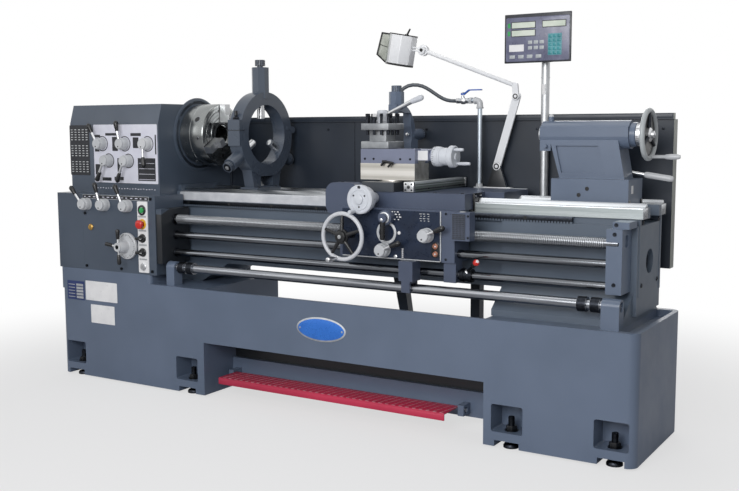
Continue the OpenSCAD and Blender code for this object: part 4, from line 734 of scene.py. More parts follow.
# leadscrew thread, drawn with a wide enough pitch to read
thread = {"start": -740, "end": 1270, "pitch": 7}
screw = Shape()
screw.rod((-783.5, rodsY, leadscrewZ), (1319.5, rodsY, leadscrewZ), 19.4, rodDarkReflection, steps=24)
turns = int((thread["end"] - thread["start"]) / thread["pitch"])
for i in range(turns):
    x = thread["start"] + i * thread["pitch"]
    screw.turned([(19.2, 0), (21, 1.6), (21, 3.6), (19.2, 5.2)], (x, rodsY, leadscrewZ), rightward,
                 threadSteel, 16)
screw.done("leadscrewThread", "leadscrew", "leadscrew")

# splash guard's rolled rim and screws
guardRim = Shape()
guardRim.block((-827.4, 591.6, 1225.6), (1367.4, 618.4, 1250.2), guardPaint, 6, 3)
for i in range(9):
    guardRim.turned([(0, 0), (6, 0), (5.4, 2.4), (0, 3.6)], (-770 + i * 262, 603.8, 700), forward, oiledSteel,
                    12)
    guardRim.turned([(0, 0), (6, 0), (5.4, 2.4), (0, 3.6)], (-770 + i * 262, 603.8, 1190), forward,
                    oiledSteel, 12)
for x in (-100, 650):
    guardRim.block((x, 602.4, 646), (x + 3, 604.2, 1225), oiledSteel, 0.3)
guardRim.block((-846, 593, 640), (-826.6, 607, 1249), guardPaint, 1)
guardRim.done("guardRim", "machine")
print("chuck, ways and rack")

# treadle with its chequered top and pivot caps
tread = Shape()
tread.block((-465, 30, 86), (665, 160, 92), redPaint, 1.5)
tread.block((-465, 30, 62), (665, 36, 87), redPaint, 1.5)
for i in range(64):
    for j in range(7):
        x, y = -452 + i * 17.4, 41 + j * 17
        tilt = Matrix.Rotation(math.radians(45 if (i + j) % 2 else -45), 4, "Z")
        bar = bmesh.new()
        bmesh.ops.create_cube(bar, size=1)
        bmesh.ops.scale(bar, vec=(0.012, 0.0035, 0.0016), verts=bar.verts)
        tread.add(bar, redPaint, Matrix.Translation(at(x, y, 92.4)) @ tilt)
# pale diagonal lines across the tread and short pale marks along its front lip
for i in range(36):
    x = -440 + i * 31
    tread.rod((x, 34, 92.6), (x + 26, 152, 92.6), 0.9, paleMark, edge=0.1, steps=5)
    tread.block((x, 33, 91.6), (x + 15, 37, 92.9), paleMark, 0, 1)
tread.rod((-503, 164, 78), (-466, 164, 78), 8.9, satinChrome)
tread.rod((666, 164, 78), (699, 164, 78), 8.9, satinChrome)
for x in (-482, 668):
    tread.turned([(9, 0), (15, 0), (15, 3), (9, 3)], (x, 164, 78), rightward, satinChrome, 24)
tread.done("treadlePlate", "treadle", "treadle")

# a near-black sheet behind the treadle, where the inside of the base lies in shade: painted shade
kick = {"left": -520, "right": 845, "low": 120, "high": 300, "back": 224.4}
shadeSheet = Shape()
shadeSheet.block((kick["left"], kick["back"], kick["low"]), (kick["right"], kick["back"] + 2, kick["high"]),
             darkEnamelAndShade, 0.3, 1)
shadeSheet.done("kickShadeSheet", "machine")

# levelling bolts, nuts and rubber-faced feet
pockets = (-1332, -623, 941, 1338)
feet = Shape()
for x in pockets:
    for y in (48, 512):
        feet.turned([(0, 0), (30, 0), (30, 8), (26, 14), (14, 18), (0, 18)], (x, y, 0), upward, oiledSteel,
                    32)
        feet.rod((x, y, 17), (x, y, 118), 11.8, oiledSteel)
        for z in range(90, 117, 4):
            feet.turned([(11.4, 0), (12.6, 1), (12.6, 1.6), (11.4, 2.6)], (x, y, z), upward, oiledSteel, 18)
        feet.turned([(12, 0), (21, 0), (22, 1.5), (22, 18), (20, 20), (12, 20)], (x, y, 64), upward,
                    blackPhenolic, 6)
        feet.turned([(12, 0), (26, 0), (26, 3), (12, 3)], (x, y, 64.2), upward, oiledSteel, 28)
feet.done("levellingBolts", "machine", "levelling_feet")
print("treadle and feet")

# toolpost: four-way block, square-headed screws and its clamping lever

px, py = 254, 262
postLow, postHigh = 1111.5, 1215.3
tool = Shape()
tool.block((px - 40, py - 40, postLow), (px + 40, py + 40, postHigh), toolSteel, 1)
for low, high in ((postLow, 1141.4), (1187.4, postHigh)):
    tool.block((px - 66, py - 66, low), (px + 66, py + 66, high), toolSteel, 3, 3)
for turn in range(4):
    a = math.radians(90 * turn)
    for i in range(3):
        lx, ly = 53, (i - 1.25) * 34
        x = px + lx * math.cos(a) - ly * math.sin(a)
        y = py + lx * math.sin(a) + ly * math.cos(a)
        finish = plainWhite if (turn, i) in ((3, 1), (2, 0)) else oiledSteel
        low = (turn, i) == (0, 1)
        tool.rod((x, y, 1168), (x, y, 1234 if low else 1242), 6, oiledSteel)
        tool.turned([(0, 0), (7.5, 0), (8.6, 1), (8.6, 12), (7, 13.6), (0, 13.8)],
                    (x, y, 1222 if low else 1242), upward, finish, 4)
tool.done("fourWayToolpost", "toolpost", "toolpost")

lever = Shape()
lever.turned([(16.5, 0.4), (26, 0.4), (26, 12), (23, 16), (22, 40), (24, 44), (22, 52), (16, 55), (16, 54),
              (16.5, 53)], (px, py, 1215.4), upward, wheelSilver, 40)
lever.rod((px + 16, py, 1250), (400, 253.5, 1304), 7.2, satinChrome, 9.5)
lever.turned([(0, 0), (9.4, 0), (10.4, 4), (12.5, 40), (11, 52), (6, 57), (0, 58)], (396, 253.7, 1302.5),
             (0.9, 0, 0.31), wheelSilver, 24)
lever.done("toolpostLever", "toolpost_lever", "toolpost_lever")
print("toolpost")

# apron front: its dark plate, marks, sight glass, lever and the thread dial's casing

apron = {"left": 184, "right": 631, "low": 684, "high": 873.6, "face": 57}
front = Shape()
y = apron["face"]
front.block((apron["left"], y - 0.3, apron["low"]), (apron["right"], y + 3.2, apron["high"]), navyPlate, 0.2,
            1)
front.block((apron["right"], y - 1.4, apron["low"] - 4), (apron["right"] + 4.5, y + 3.2, apron["high"] + 3),
            castAluminium, 0.4, 1)
front.block((apron["left"], y - 1.4, apron["low"] - 4), (apron["right"] + 4.5, y + 3.2, apron["low"]),
            castAluminium, 0.4, 1)
apronMarks = (((414, 9), (428, 5), (440, 8)), ((416, 5), (430, 10), (448, 6)),
              ((414, 8), (438, 5), (450, 10)), ((420, 12), (444, 6)))
for row, marks in enumerate(apronMarks):
    for x, wide in marks:
        front.block((x, y - 0.8, 866 - row * 10), (x + wide, y - 0.2, 870 - row * 10), plainWhite, 0, 1)
for row in range(4):
    for x in (541, 556, 574):
        front.block((x + row % 2 * 4, y - 0.8, 863 - row * 9), (x + 10, y - 0.2, 865.4 - row * 9),
                    castAluminium, 0, 1)
for row in range(5):
    front.block((462, y - 0.8, 688 + row * 8), (469, y - 0.2, 692 + row * 8), plainWhite, 0, 1)
front.turned([(0, 0), (7, 0), (6.4, 1.6), (0, 2.2)], (450, y - 0.3, 785), forward, plainWhite, 20)
front.turned([(0, 0), (8, 0), (8, 3), (6, 4), (0, 4)], (434, y - 0.3, 690), forward, satinChrome, 20)
front.turned([(34, 0), (45, 0), (45, 2.5), (42, 4.5), (37, 4.5), (34, 2)], (393, y - 0.3, 784), forward,
             hubFinish, 56)
front.turned([(0, 0), (34, 0), (34, 1.2), (0, 1.2)], (393, y - 0.3, 784), forward, navyPlate, 40)
front.rod((395, 20, 758), (395, 20, 834), 10.8, blackPhenolic, edge=3)
front.ball((395, 20, 838), 12, satinChrome)
front.turned([(18.2, 0), (24, 0), (23, 5), (18.2, 6)], (399, 30, 845), forward, castAluminium, 32)
front.block((594, y - 2.6, 696), (630, y + 0.1, 757), blackPhenolic, 1, 2, 15, "y")
for z in (741, 711):
    front.turned([(3, 0), (11.5, 0), (11.5, 3), (9, 5.6), (5.5, 5.6), (4, 3), (3, 3)], (612, y - 2.4, z),
                 forward, copperUnion, 28)
    front.turned([(0, 0), (3, 0), (3, 4), (0, 4.4)], (612, y - 2.4, z), forward, plainWhite, 14)
front.block((697, 26.6, 776), (752, 28.2, 872), darkEnamelAndShade, 0.6, 1)
for i in range(9):
    front.block((700 + i * 6, 25.8, 779), (702.4 + i * 6, 26.8, 869), grilleGrey, 0.2, 1)
for i in range(13):
    front.block((699, 25.6, 780 + i * 7.2), (750, 26.4, 781.6 + i * 7.2), grilleGrey, 0.2, 1)
front.turned([(0, 0), (12, 0), (12, 1.4), (9, 2.4), (0, 2.4)], (731, 50, 878.6), upward, hubFinish, 32)
for x, z in ((764, 866), (764, 784), (655, 868), (655, 692), (680, 868)):
    front.turned([(0, 0), (4.5, 0), (4.5, 3), (2.5, 3.4), (2.5, 1.6), (0, 1.6)],
                 (x, 60 if x < 692 else 28, z), forward, oiledSteel, 14)
front.done("apronFront", "carriage")

wiper = Shape()
wiperOutline = [(190, 872), (198, 872), (198, 908.5), (221, 908.5), (240, 925.5), (259, 908.5), (263, 908.5),
                (263, 940.5), (190, 940.5)]
for x, thick in ((704.8, 7), (54.2, 6)):
    wiper.prism(wiperOutline, (x, 0, 0), rightward, thick, blackPhenolic, 0.8)
    for yy in (205, 252):
        wiper.turned([(0, 0), (4, 0), (4, 2), (0, 2.4)], (x + (thick if x > 700 else 0), yy, 930),
                     rightward if x > 700 else leftward, satinChrome, 12)
for x in (120, 330, 420, 560, 680):
    wiper.turned([(3.4, 1.6), (6.5, 2), (7, 0), (0, 0), (0, 0.5), (3.4, 0.5)],
                 (x, 150 if x > 222 else 158, 941 if x > 222 else 973), upward, oiledSteel, 14)
wiper.done("wayWipers", "carriage")

lever = Shape()
lever.turned([(17.4, 0), (26, 0), (27, 1.5), (27, 13), (24, 15), (24, 31), (27, 33), (27, 46), (25.5, 48),
              (17.4, 48)], (704, rodsY, controlRodZ), rightward, oiledSteel, 40)
foot, way = Vector((732, 84, 645)), Vector((0.695, -0.481, 0.534))
lever.turned([(0, -2), (10, -2), (10, 8), (7, 10), (0, 10)], foot, way, satinChrome, 6)
lever.rod(foot + way * 8, foot + way * 60, 5.6, oiledSteel, 5)
lever.turned([(0, 54), (7, 54), (9, 58), (9.6, 74), (7, 79), (0, 79)], foot, way, blackPhenolic, 20)
lever.ball(foot + way * 86, 12.8, redKnob)
lever.turned([(0, 94), (8, 94), (6, 98), (0, 99)], foot, way, plainWhite, 20)
lever.done("controlLever", "control_lever", "control_lever")
print("apron")

# glass scales of the readout, along the cross slide and behind the saddle

scale = Shape()
scale.block((441, 112, 943.4), (484, 587, 974), scaleGrey, 1)
scale.block((441.6, 112, 974), (483.4, 587, 982.6), scaleTop, 1.5)
scale.block((483.7, 126, 950), (484.8, 574, 955), blackPhenolic, 0.2, 1)
scale.block((483.7, 126, 966), (484.8, 574, 968), scaleTop, 0.2, 1)
for y0, y1 in ((110.2, 124), (575, 587.8)):
    scale.block((440.3, y0, 943.3), (484.7, y1, 982.8), satinChrome, 1.5)
for x in (449, 476):
    for z in (951, 975):
        scale.turned([(0, 0), (3.6, 0), (3.6, 2), (2, 2.3), (2, 1), (0, 1)], (x, 110.2, z), forward,
                     oiledSteel, 12)
scale.turned([(0, 0), (7, 0), (6, 3), (0, 4)], (462, 110.2, 963), forward, darkEnamelAndShade, 20)
scale.block((688.3, 542.3, 909.4), (785.7, 553.7, 942.6), scaleTop, 1)
for x in (700, 728, 756):
    scale.block((x, 541.2, 928), (x + 17, 542.6, 935), blackPhenolic, 0.4, 1, 3, "y")
for x in (694, 722, 750, 779):
    scale.turned([(0, 0), (3, 0), (3, 1), (0, 1.2)], (x, 542.3, 917), forward, oiledSteel, 12)
scale.done("scaleBars", "carriage", "readout_scales")

# the compound's locking lever, blank plate and gib screws

gib = Shape()
gib.rod((294, 181, 1043), (307, 183, 1060), 4.6, blackPhenolic)
gib.rod((300, 182, 1061), (352, 179, 1054), 5.4, blackPhenolic)
gib.rod((346, 179, 1056), (328, 178, 1038), 4.2, blackPhenolic)
gib.rod((312, 193, 1059), (312, 178, 1059), 6, oiledSteel)
gib.block((448, 213, 1066.5), (493, 214.3, 1104.5), plainWhite, 0.3, 1, 2, "y")
for x in (210, 252, 378, 424):
    gib.turned([(2.4, 1.6), (4.6, 1.6), (5, 0), (0, 0), (0, 0.4), (2.4, 0.4)], (x, 192.2, 1070), forward,
               oiledSteel, 12)
gib.done("compoundFittings", "compound_slide")
print("scales and compound")

# the steady and follow rests: knurled knobs, bright fingers, clamp bolts


def knurledKnob(shape, spot, axis, radius, tall, finish):
    ridges = [(radius * (1 if i % 2 else 0.93), math.tau * i / 36) for i in range(36)]
    outline = [(r * math.cos(a), r * math.sin(a)) for r, a in ridges]
    shape.prism(outline, spot, axis, tall, finish, 0)
    shape.turned([(0, tall), (radius * 0.9, tall), (radius * 0.8, tall + 1.6), (0, tall + 2)], spot, axis,
                 finish, 28)


def restFinger(shape, centre, axis, inner, outer, radius):
    start = Vector(centre) + Vector(axis) * inner
    shape.turned([(0, -1.2), (radius * 0.55, -1), (radius * 0.9, 1.2), (radius + 0.4, 4),
                  (radius + 0.4, outer - inner)], start, axis, satinChrome, 28)


steadyAt = (-456, spindleY, spindleZ)
cap = Shape()
knurledKnob(cap, (-456, spindleY, 1481), upward, 23.6, 25.4, blackPhenolic)
restFinger(cap, steadyAt, upward, 70, 136, 17)
cap.turned([(0, 0), (15, 0), (16, 1), (16, 8), (13, 11), (7, 12), (7, 20), (0, 20)], (-456, 178, 1236),
           upward, oiledSteel, 6)
cap.turned([(0, 0), (7, 0), (7, 20), (0, 20)], (-456, 178, 1256), upward, blackPhenolic, 16)
cap.done("steadyCapFittings", "steady_cap")
low = Shape()
for angle, far in ((120, 266), (-120, 232)):
    a = math.radians(angle)
    d = Vector((0, -math.sin(a), math.cos(a)))
    knurledKnob(low, Vector(steadyAt) + d * far, d, 24.6, 20.4, oiledSteel if angle > 0 else blackPhenolic)
    restFinger(low, steadyAt, d, 70, 136, 17)
    low.turned([(0, 0), (9, 0), (9, 5), (5, 6), (0, 6)], Vector(steadyAt) + d * (far + 21), d, satinChrome,
               20)
low.block((-489.4, 159.4, 1187.6), (-422.6, 196, 1190), blackPhenolic, 0, 1)
low.turned([(0, 0), (17, 0), (17, 12), (14, 14), (8, 14), (8, 24), (0, 25)], (-456, 350, 929.4), upward,
           satinChrome, 6)
for x, yy in ((-496, 285), (-496, 415), (-416, 285), (-416, 415)):
    low.turned([(0, 0), (6, 0), (6, 4), (3, 4.4), (3, 2), (0, 2)], (x, yy, 929), upward, oiledSteel, 16)
low.done("steadyFittings", "steady")
follow = Shape()
knurledKnob(follow, (265, spindleY, 1347.6), upward, 21.6, 25, blackPhenolic)
knurledKnob(follow, (265, 556, spindleZ), backward, 24.6, 15, blackPhenolic)
restFinger(follow, (265, spindleY, spindleZ), upward, 90, 110, 11)
restFinger(follow, (265, spindleY, spindleZ), backward, 90, 112, 11)
follow.rod((245.6, 476, 960), (245.6, 496, 960), 6, oiledSteel)
follow.done("followRestFittings", "carriage")
print("rests")

# coolant pipe with its elbow, unions and ball valve

pipe = {"x": 561, "y": 556, "foot": 941, "run": 1311, "radius": 10}
plumbing = Shape()
x, y, z = pipe["x"], pipe["y"], pipe["run"]
plumbing.turned([(9, 0), (24, 0), (24, 4), (15, 6), (14, 16), (12, 18), (9, 18)], (x, y, pipe["foot"]),
                upward, hubFinish, 32)
plumbing.rod((x, y, pipe["foot"] + 4), (x, y, z - 18), pipe["radius"], pipeZinc)
plumbing.turned([(9, 0), (15, 0), (15.6, 1), (15.6, 7), (13.6, 8.5), (13.2, 20), (9, 20)], (x, y, z - 34),
                upward, hubFinish, 28)
bend = bmesh.new()
corners = [math.tau * i / 24 for i in range(24)]
ring = [bend.verts.new((13.2 / 1000 * math.cos(a), 13.2 / 1000 * math.sin(a), 0)) for a in corners]
rim = [bend.edges.new((a, b)) for a, b in zip(ring, ring[1:] + ring[:1])]
bmesh.ops.spin(bend, geom=ring + rim, axis=(0, 1, 0), cent=(-0.016, 0, 0), dvec=(0, 0, 0), angle=-math.pi / 2,
               steps=10, use_merge=False, use_duplicate=False)
plumbing.add(bend, hubFinish, Matrix.Translation(at(x, y, z - 16)))
plumbing.turned([(9, 0), (15, 0), (15.6, 1), (15.6, 7), (13.6, 8.5), (13.2, 10), (9, 10)], (x - 26, y, z),
                rightward, hubFinish, 28)
plumbing.rod((x - 20, y, z), (449.6, y, z), 8.8, pipeZinc)
plumbing.turned([(8, 0), (14.4, 0), (15, 1), (15, 12), (14.4, 13), (8, 13)], (511, y, z), rightward,
                hubFinish, 6)
plumbing.turned([(8, 0), (11, 1), (14.5, 6), (15.5, 14), (14.5, 22), (11, 27), (8, 28)], (469, y, z),
                rightward, satinChrome, 32)
plumbing.turned([(8, 0), (13.4, 0), (14, 1), (14, 9), (13.4, 10), (8, 10)], (497, y, z), rightward,
                satinChrome, 6)
plumbing.turned([(8, 0), (12.4, 0), (13, 1), (13, 12), (11, 14), (8, 15)], (452, y, z), rightward,
                satinChrome, 6)
plumbing.turned([(0, 10), (8.5, 10), (8.5, 18), (6, 20), (6, 23.6), (0, 23.6)], (481, y, z), upward,
                satinChrome, 20)
plumbing.done("coolantPlumbing", "carriage", "coolant_pipe")
handle = Shape()
handle.turned([(0, 0), (7, 0), (7, 3), (5, 5), (0, 5)], (481, y, 1343.2), upward, satinChrome, 6)
handle.done("valveNut", "valve_lever")
print("coolant pipe")

# work lamp: arms' joints, its black bracket and the faceted head with a glazed hood

lamp = {"pivot": (638, 1033), "elbow": (725, 1325.3), "head": (288, 541, 1532), "tilt": 10.5, "radius": 62.6}
bracket = Shape()
bracket.prism([(591.2, 941.4), (684.8, 941.4), (655, 1027), (621, 1027)], (0, 571, 0), forward, 9.6,
              darkEnamelAndShade, 0.6)
bracket.block((568, 546, 941.2), (706, 586, 945), plainWhite, 0.8)
bracket.turned([(0, 0), (18, 0), (18, 9.8), (0, 9.8)], (638, 571.2, 1033), forward, darkEnamelAndShade, 28)
bracket.done("lampBracket", "carriage")


def armJoint(name, body, spot, front, radius):
    joint, centre = Shape(), (spot[0], front, spot[1])
    cap, washer = radius * 0.42, radius * 0.74
    joint.turned([(0, 0), (radius, 0), (radius, 1.6), (radius - 1.5, 2.6), (radius - 6, 2.6),
                  (radius - 6, 1.6), (0, 1.6)], centre, forward, lampWhite, 36)
    joint.turned([(cap, 1.5), (washer, 1.5), (washer, 3), (cap, 3)], centre, forward, blackPhenolic, 32)
    joint.turned([(0, 1.5), (cap, 1.5), (cap, 3.4), (0, 3.8)], centre, forward, lampWhite, 20)
    joint.done(name, body)


armJoint("lampLowerJoint", "lamp_lower_arm", lamp["pivot"], 561.6, 17)
armJoint("lampElbowJoint", "lamp_upper_arm", lamp["elbow"], 551, 15)


def octagon(r):
    corners = [math.radians(22.5 + 45 * i) for i in range(8)]
    return [(r * math.cos(a), r * math.sin(a)) for a in corners]


head = Shape()
hx, hy, hz = lamp["head"]
cx = hx - 101
head.prism(octagon(lamp["radius"]), (cx, hy, hz - 74), upward, 124, lampWhite, 2)
head.prism(octagon(lamp["radius"] + 0.6), (cx, hy, hz + 50), upward, 4.4, blackPhenolic, 0.6)
head.prism(octagon(lamp["radius"] + 0.6), (cx, hy, hz - 82.4), upward, 9, blackPhenolic, 2)
head.prism([(-194, -47), (-150, -71), (-150, 45), (-184, 45)], (hx, hy + 43, hz), forward, 86, lampGlass, 1)
# corners of the glazed hood's frame, seen from the front
hood = {"low": (-195, -48), "lowBack": (-148, -75), "topBack": (-148, 47), "top": (-185, 47),
        "bar": (-190.5, -4), "barBack": (-148, -10)}
for side in (-44, 44):
    for one, two in (("low", "lowBack"), ("low", "top"), ("top", "topBack"), ("bar", "barBack")):
        (x0, z0), (x1, z1) = hood[one], hood[two]
        head.rod((hx + x0, hy + side, hz + z0), (hx + x1, hy + side, hz + z1), 1.4 if one == "bar" else 3.6,
                 blackPhenolic, steps=8)
for key in ("low", "top", "bar"):
    x0, z0 = hood[key]
    head.rod((hx + x0, hy - 46, hz + z0), (hx + x0, hy + 46, hz + z0), 3.6, blackPhenolic, steps=8)
head.rod((cx + 16, hy, hz + 54), (cx + 27, hy, hz + 82), 4.6, blackPhenolic, 3.6)
head.turned([(0, 0), (9, 0), (9, 3), (0, 4)], (cx + 16, hy, hz + 54), upward, blackPhenolic, 20)
head.block((hx - 46, hy - 5, hz + 3), (hx - 12, hy + 5, hz + 9), lampWhite, 1)
head.block((hx - 46, hy - 5, hz - 9), (hx - 12, hy + 5, hz - 3), lampWhite, 1)
head.turned([(0, 0), (16.5, 0), (17, 1), (17, 11), (15.5, 12.4), (9, 12.4), (9, 11.4), (0, 11.4)],
            (hx, hy + 6, hz), forward, lampWhite, 36)
head.turned([(9.4, 12.2), (12, 12.2), (12, 12.9), (9.4, 12.9)], (hx, hy + 6, hz), forward, castAluminium, 32)
head.turned([(0, 11), (7, 11), (7, 13.4), (0, 14)], (hx, hy + 6, hz), forward, blackPhenolic, 24)
pivot = at(hx, hy, hz)
tilt = Matrix.Rotation(math.radians(lamp["tilt"]), 4, "Y")
bmesh.ops.transform(head.mesh, matrix=Matrix.Translation(pivot) @ tilt @ Matrix.Translation(-pivot),
                    verts=head.mesh.verts)
head.done("lampHead", "lamp_head", "lamp_head")
print("lamp")

# readout: housing, two pale windows on the left, one on the right, and a keypad

low, high = (p * 1000 - zero * 1000 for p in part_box("readout_display"))
panel = Shape()
panel.block((low.x, low.y + 1.5, low.z), (high.x, low.y + 11, high.z), bezelGrey, 3, 3)
panel.block((low.x + 24, low.y + 10, low.z + 16), (high.x - 42, high.y, high.z - 22), bezelGrey, 4, 2)
panel.block((low.x + 7, low.y, low.z + 6), (high.x - 6, low.y + 5, high.z - 14), panelGrey, 1.5, 2, 6, "y")


# a field on the display's front, from its lower left corner, standing out by so much
def field(x0, x1, z0, z1, out, finish, edge=0.4, steps=1, back=0):
    panel.block((low.x + x0, low.y - out, low.z + z0), (low.x + x1, low.y + back, low.z + z1), finish, edge,
                steps)


for x0, x1, z0, z1 in ((33, 133, 140, 162), (33, 133, 108, 130), (166, 262, 140, 162)):
    field(x0 - 3, x1 + 3, z0 - 3, z1 + 3, 0.8, bezelGrey, back=1)
    field(x0, x1, z0, z1, 1.4, screenGlass)
for z0 in (142, 110):
    field(15, 26, z0, z0 + 18, 1, greenCap)
field(22, 86, 46, 74, 1, plainWhite)
for i in range(3):
    for j in range(5):
        x0, z0 = 192 + i * 18.6, 30 + j * 16.4
        field(x0, x0 + 14, z0, z0 + 12, 1.8, keypadFilm, 1, 2)
field(189, 247, 27, 112, 0.5, keypadFrame, back=1)
for i in range(3):
    for j in range(2):
        x0, z0 = 104 + i * 25, 52 + j * 22
        field(x0, x0 + 18, z0, z0 + 14, 1.6, scaleTop, 1, 2)
for i in range(4):
    field(24 + i * 38, 48 + i * 38, 18, 32, 1.6, scaleTop, 1, 2)
for i in range(8):
    panel.block((low.x + 90 + i * 14, high.y - 1, low.z + 120),
                (low.x + 97 + i * 14, high.y + 0.6, low.z + 170), blackPhenolic, 0.3, 1)
for x in (low.x + 36, high.x - 54):
    for z in (low.z + 28, high.z - 34):
        panel.turned([(0, 0), (5, 0), (4.4, 2), (0, 2.6)], (x, high.y - 0.2, z), backward, satinChrome, 14)
for i in range(3):
    panel.turned([(0, 0), (8, 0), (8, 6), (5, 8), (0, 8)], (low.x + 40 + i * 26, high.y - 0.4, low.z + 26),
                 backward, oiledSteel, 18)
panel.done("readoutPanel", "readout_display", "readout_display")

pole = Shape()
x, y = 847, 574
pole.turned([(17, 0), (27, 0), (28, 1.5), (28, 26), (26, 28), (17, 28)], (x, y, 861), upward, hubFinish, 36)
for z in (1100, 1118, 1396):
    pole.turned([(17.1, 0), (18.4, 0.4), (18.4, 5.6), (17.1, 6)], (x, y, z), upward, castAluminium, 32)
pole.block((x - 7, y - 18.6, 1330), (x + 7, y - 16.4, 1372), plainWhite, 0.5, 1)
pole.turned([(17.1, 0), (24, 0), (25, 2), (25, 32), (23, 34), (17.1, 34)], (x, y, 1462), upward, oiledSteel,
            32)
pole.done("readoutPole", "machine")
print("readout")

# tailstock: handwheel with its dial and crank, clamp lever, wipers, screws

wheel = Shape()
wx, wy, wz = 1339, spindleY, spindleZ
ringTube(wheel, (wx, wy, wz), rightward, 88.6, 9.3, 9.6, wheelGrey)
wheel.turned([(0, -60), (14, -60), (14, -39.3), (42, -39.3), (44, -38), (44, -20), (42, -16), (30, -14),
              (24, -13), (24, -9), (0, -9)], (wx, wy, wz), rightward, satinChrome, 56)
wheel.turned([(24, -8), (84, -5), (84, -1), (24, -3)], (wx, wy, wz), rightward, blackPhenolic, 56)
wheel.turned([(0, -8), (27, -8), (27, 6), (22, 10), (15, 12), (14, 20), (9, 22), (0, 22)], (wx, wy, wz),
             rightward, satinChrome, 40)
dialMarks(wheel, (wx - 37, wy, wz), "x", 44.1, 36, 5, 12, 7)
for i in range(3):
    a = math.radians(90 + 120 * i)
    d = (math.cos(a), math.sin(a))
    wheel.rod((wx, wy + 20 * d[0], wz + 20 * d[1]), (wx, wy + 82 * d[0], wz + 82 * d[1]), 9, oiledSteel, 6.4)
wheel.turned([(0, 20), (6, 20), (6, 24), (0, 25)], (wx, wy, wz), rightward, satinChrome, 6)
crank = (wx, wy + 26, wz - 82)
wheel.turned([(0, 0), (9, 0), (9, 6), (6.8, 8), (6.4, 54), (9, 58), (10.8, 78), (10.4, 96), (7, 110),
              (0, 111.6)], crank, rightward, hubFinish, 24)
wheel.done("tailstockWheel", "tailstock_handwheel", "tailstock_handwheel")

lever = Shape()
px, py, pz = 1233, 420, 1027
lever.turned([(0, 1.2), (18, 1.2), (19, 2.4), (19, 22), (16, 24.6), (0, 25)], (px, py, pz), backward,
             hubFinish, 32)
a = math.radians(-8)
d = (math.cos(a), 0, math.sin(a))
armStart, gripStart, armEnd = ((px + d[0] * r, py + 13, pz + d[2] * r) for r in (14, 74, 76))
lever.rod(armStart, armEnd, 6.8, satinChrome)
lever.turned([(0, 0), (8, 0), (10.6, 4), (12, 12), (12, 96), (10, 106), (6, 110), (0, 110)], gripStart, d,
             hubFinish, 24)
lever.done("tailstockLever", "tailstock_clamp", "tailstock_clamp")

tail = Shape()
for x, z in ((1140, 967), (1108, 943)):
    tail.turned([(0, 0.3), (7.4, 0.3), (7.4, 1.4), (0, 1.4)], (x, 264.6, z), forward, blackPhenolic, 20)
for y in (268, 416):
    outline = [(y, 908), (y + 16, 908), (y + 16, 926), (y, 926)]
    tail.prism(outline, (1296.6, 0, 0), rightward, 5, blackPhenolic, 0.6)
tail.block((1296.6, 300, 950), (1298, 322, 980), plainWhite, 0.3, 1)
tail.turned([(0, 0), (10, 0), (9, 5), (5, 9), (0, 10)], (958, spindleY, 1236.5), upward, hubFinish, 20)
tail.turned([(36, -0.2), (50, -0.2), (50, 2), (47, 3.6), (37, 3.6)], (932, spindleY, spindleZ), leftward,
            oiledSteel, 48)
for i in range(4):
    a = math.radians(45 + 90 * i)
    spot = (928.8, spindleY + 43.5 * math.cos(a), spindleZ + 43.5 * math.sin(a))
    tail.turned([(0, 0), (3, 0), (3, 1), (0, 1)], spot, leftward, satinChrome, 12)
tail.done("tailstockFittings", "tailstock")
print("tailstock")

# guard end post, bed and bracket screws, stop collars

ends = Shape()
ends.block((1366.6, 604, 640), (1368, 653.8, 1226), postGrey, 0.3, 1)
ends.block((1366.6, 592, 1226), (1368, 618, 1250), postGrey, 0.3, 1)
for x, y, z in ((1308, 80, 820), (1308, 80, 640), (1308, 96, 852)):
    ends.turned([(3.6, 2.4), (7, 2.8), (7.6, 0), (0, 0), (0, 0.8), (3.6, 0.8)], (x, y, z), forward,
                oiledSteel, 16)
for y, z in ((248, 620), (452, 620), (248, 850), (452, 850)):
    ends.turned([(4, 3), (8, 3), (8.6, 0), (0, 0), (0, 1), (4, 1)], (1358, y, z), rightward, oiledSteel, 18)
ends.done("endFittings", "machine")
collars = Shape()
for x in (-671, -622, 1209, 1258):
    collars.turned([(19.2, -16.9), (26.6, -16.9), (27.6, -15.9), (27.6, 15.9), (26.6, 16.9), (19.2, 16.9)],
                   (x, stopRodY, stopRodZ), rightward, oiledSteel, 36)
    collars.turned([(0, 0), (4, 0), (4, 1), (0, 1.2)], (x, 20.6, stopRodZ), forward, oiledSteel, 12)
collars.done("stopCollars", "stop_rod")
print("end fittings")

# floor, backdrop and lights

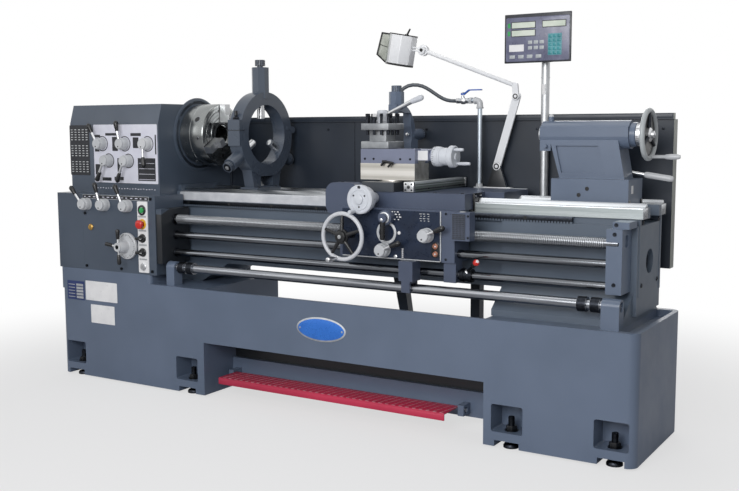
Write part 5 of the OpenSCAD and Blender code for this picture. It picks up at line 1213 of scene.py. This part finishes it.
floorMesh = bmesh.new()
bmesh.ops.create_grid(floorMesh, x_segments=1, y_segments=1, size=40)
floorData = bpy.data.meshes.new("floor")
floorMesh.to_mesh(floorData)
floorMesh.free()
floor = bpy.data.objects.new("floor", floorData)
scene.collection.objects.link(floor)
floorFinish, tree, shader, place = startMaterial("paleFloor", "#c2c2c5", Roughness=0.8)
glow = addNode(tree, "Emission", {"Color": (1, 1, 1, 1), "Strength": 1.0})
far = addNode(tree, "VectorMath", links={0: place}, operation="LENGTH")
fade = addNode(tree, "MapRange", {"From Min": 1.5, "From Max": 3.2, "To Min": 0.62, "To Max": 1.0},
               {"Value": far.outputs["Value"]}, interpolation_type="SMOOTHSTEP")
seen = addNode(tree, "LightPath")
share = addNode(tree, "Math", links={0: seen.outputs["Is Camera Ray"], 1: fade.outputs["Result"]},
                operation="MULTIPLY")
mixed = addNode(tree, "MixShader", links={0: share.outputs["Value"], 1: shader.outputs["BSDF"],
                                          2: glow.outputs["Emission"]})
tree.links.new(mixed.outputs["Shader"], tree.nodes["Material Output"].inputs["Surface"])
floorData.materials.append(floorFinish)

world = bpy.data.worlds.new("studio")
scene.world = world
world.use_nodes = True
tree = world.node_tree
backdrop = tree.nodes["Background"]
backdrop.inputs["Color"].default_value = (1, 1, 1, 1)
seen = addNode(tree, "LightPath")
anyRay = addNode(tree, "Math", links={0: seen.outputs["Is Camera Ray"], 1: seen.outputs["Is Glossy Ray"]},
                 operation="MAXIMUM")
anyRay = addNode(tree, "Math", links={0: anyRay.outputs["Value"], 1: seen.outputs["Is Transmission Ray"]},
                 operation="MAXIMUM")
strength = addNode(tree, "MapRange", {"To Min": 0.3, "To Max": 1.0}, {"Value": anyRay.outputs["Value"]})
tree.links.new(strength.outputs["Result"], backdrop.inputs["Strength"])
scene.view_settings.view_transform = "Standard"


def softbox(name, spot, target, size, power):
    source = bpy.data.lights.new(name, "AREA")
    source.shape, source.size, source.size_y, source.energy = "RECTANGLE", size[0], size[1], power
    light = bpy.data.objects.new(name, source)
    scene.collection.objects.link(light)
    aim = (Vector(target) - Vector(spot)).to_track_quat("-Z", "Y")
    light.matrix_world = Matrix.Translation(spot) @ aim.to_matrix().to_4x4()


# each softbox's place and aim in metres, its size and its power in watts
softboxes = {
    "keyBox": ((1.1, -4.4, 2.3), (0.5, 0, 0.6), (2.6, 1.8), 128),
    "fillBox": ((-3.2, -3.2, 2.2), (-0.6, 0, 0.8), (1.6, 1.6), 8),
    "topBox": ((0.2, 0.2, 4.2), (0, 0, 0.6), (3.0, 1.6), 18),
    "backBox": ((-0.9, 3.8, 2.3), (0, 0, 0.7), (2.4, 1.6), 40),
}
for name, (spot, target, size, power) in softboxes.items():
    softbox(name, spot, target, size, power)
print("stage and lights ready")
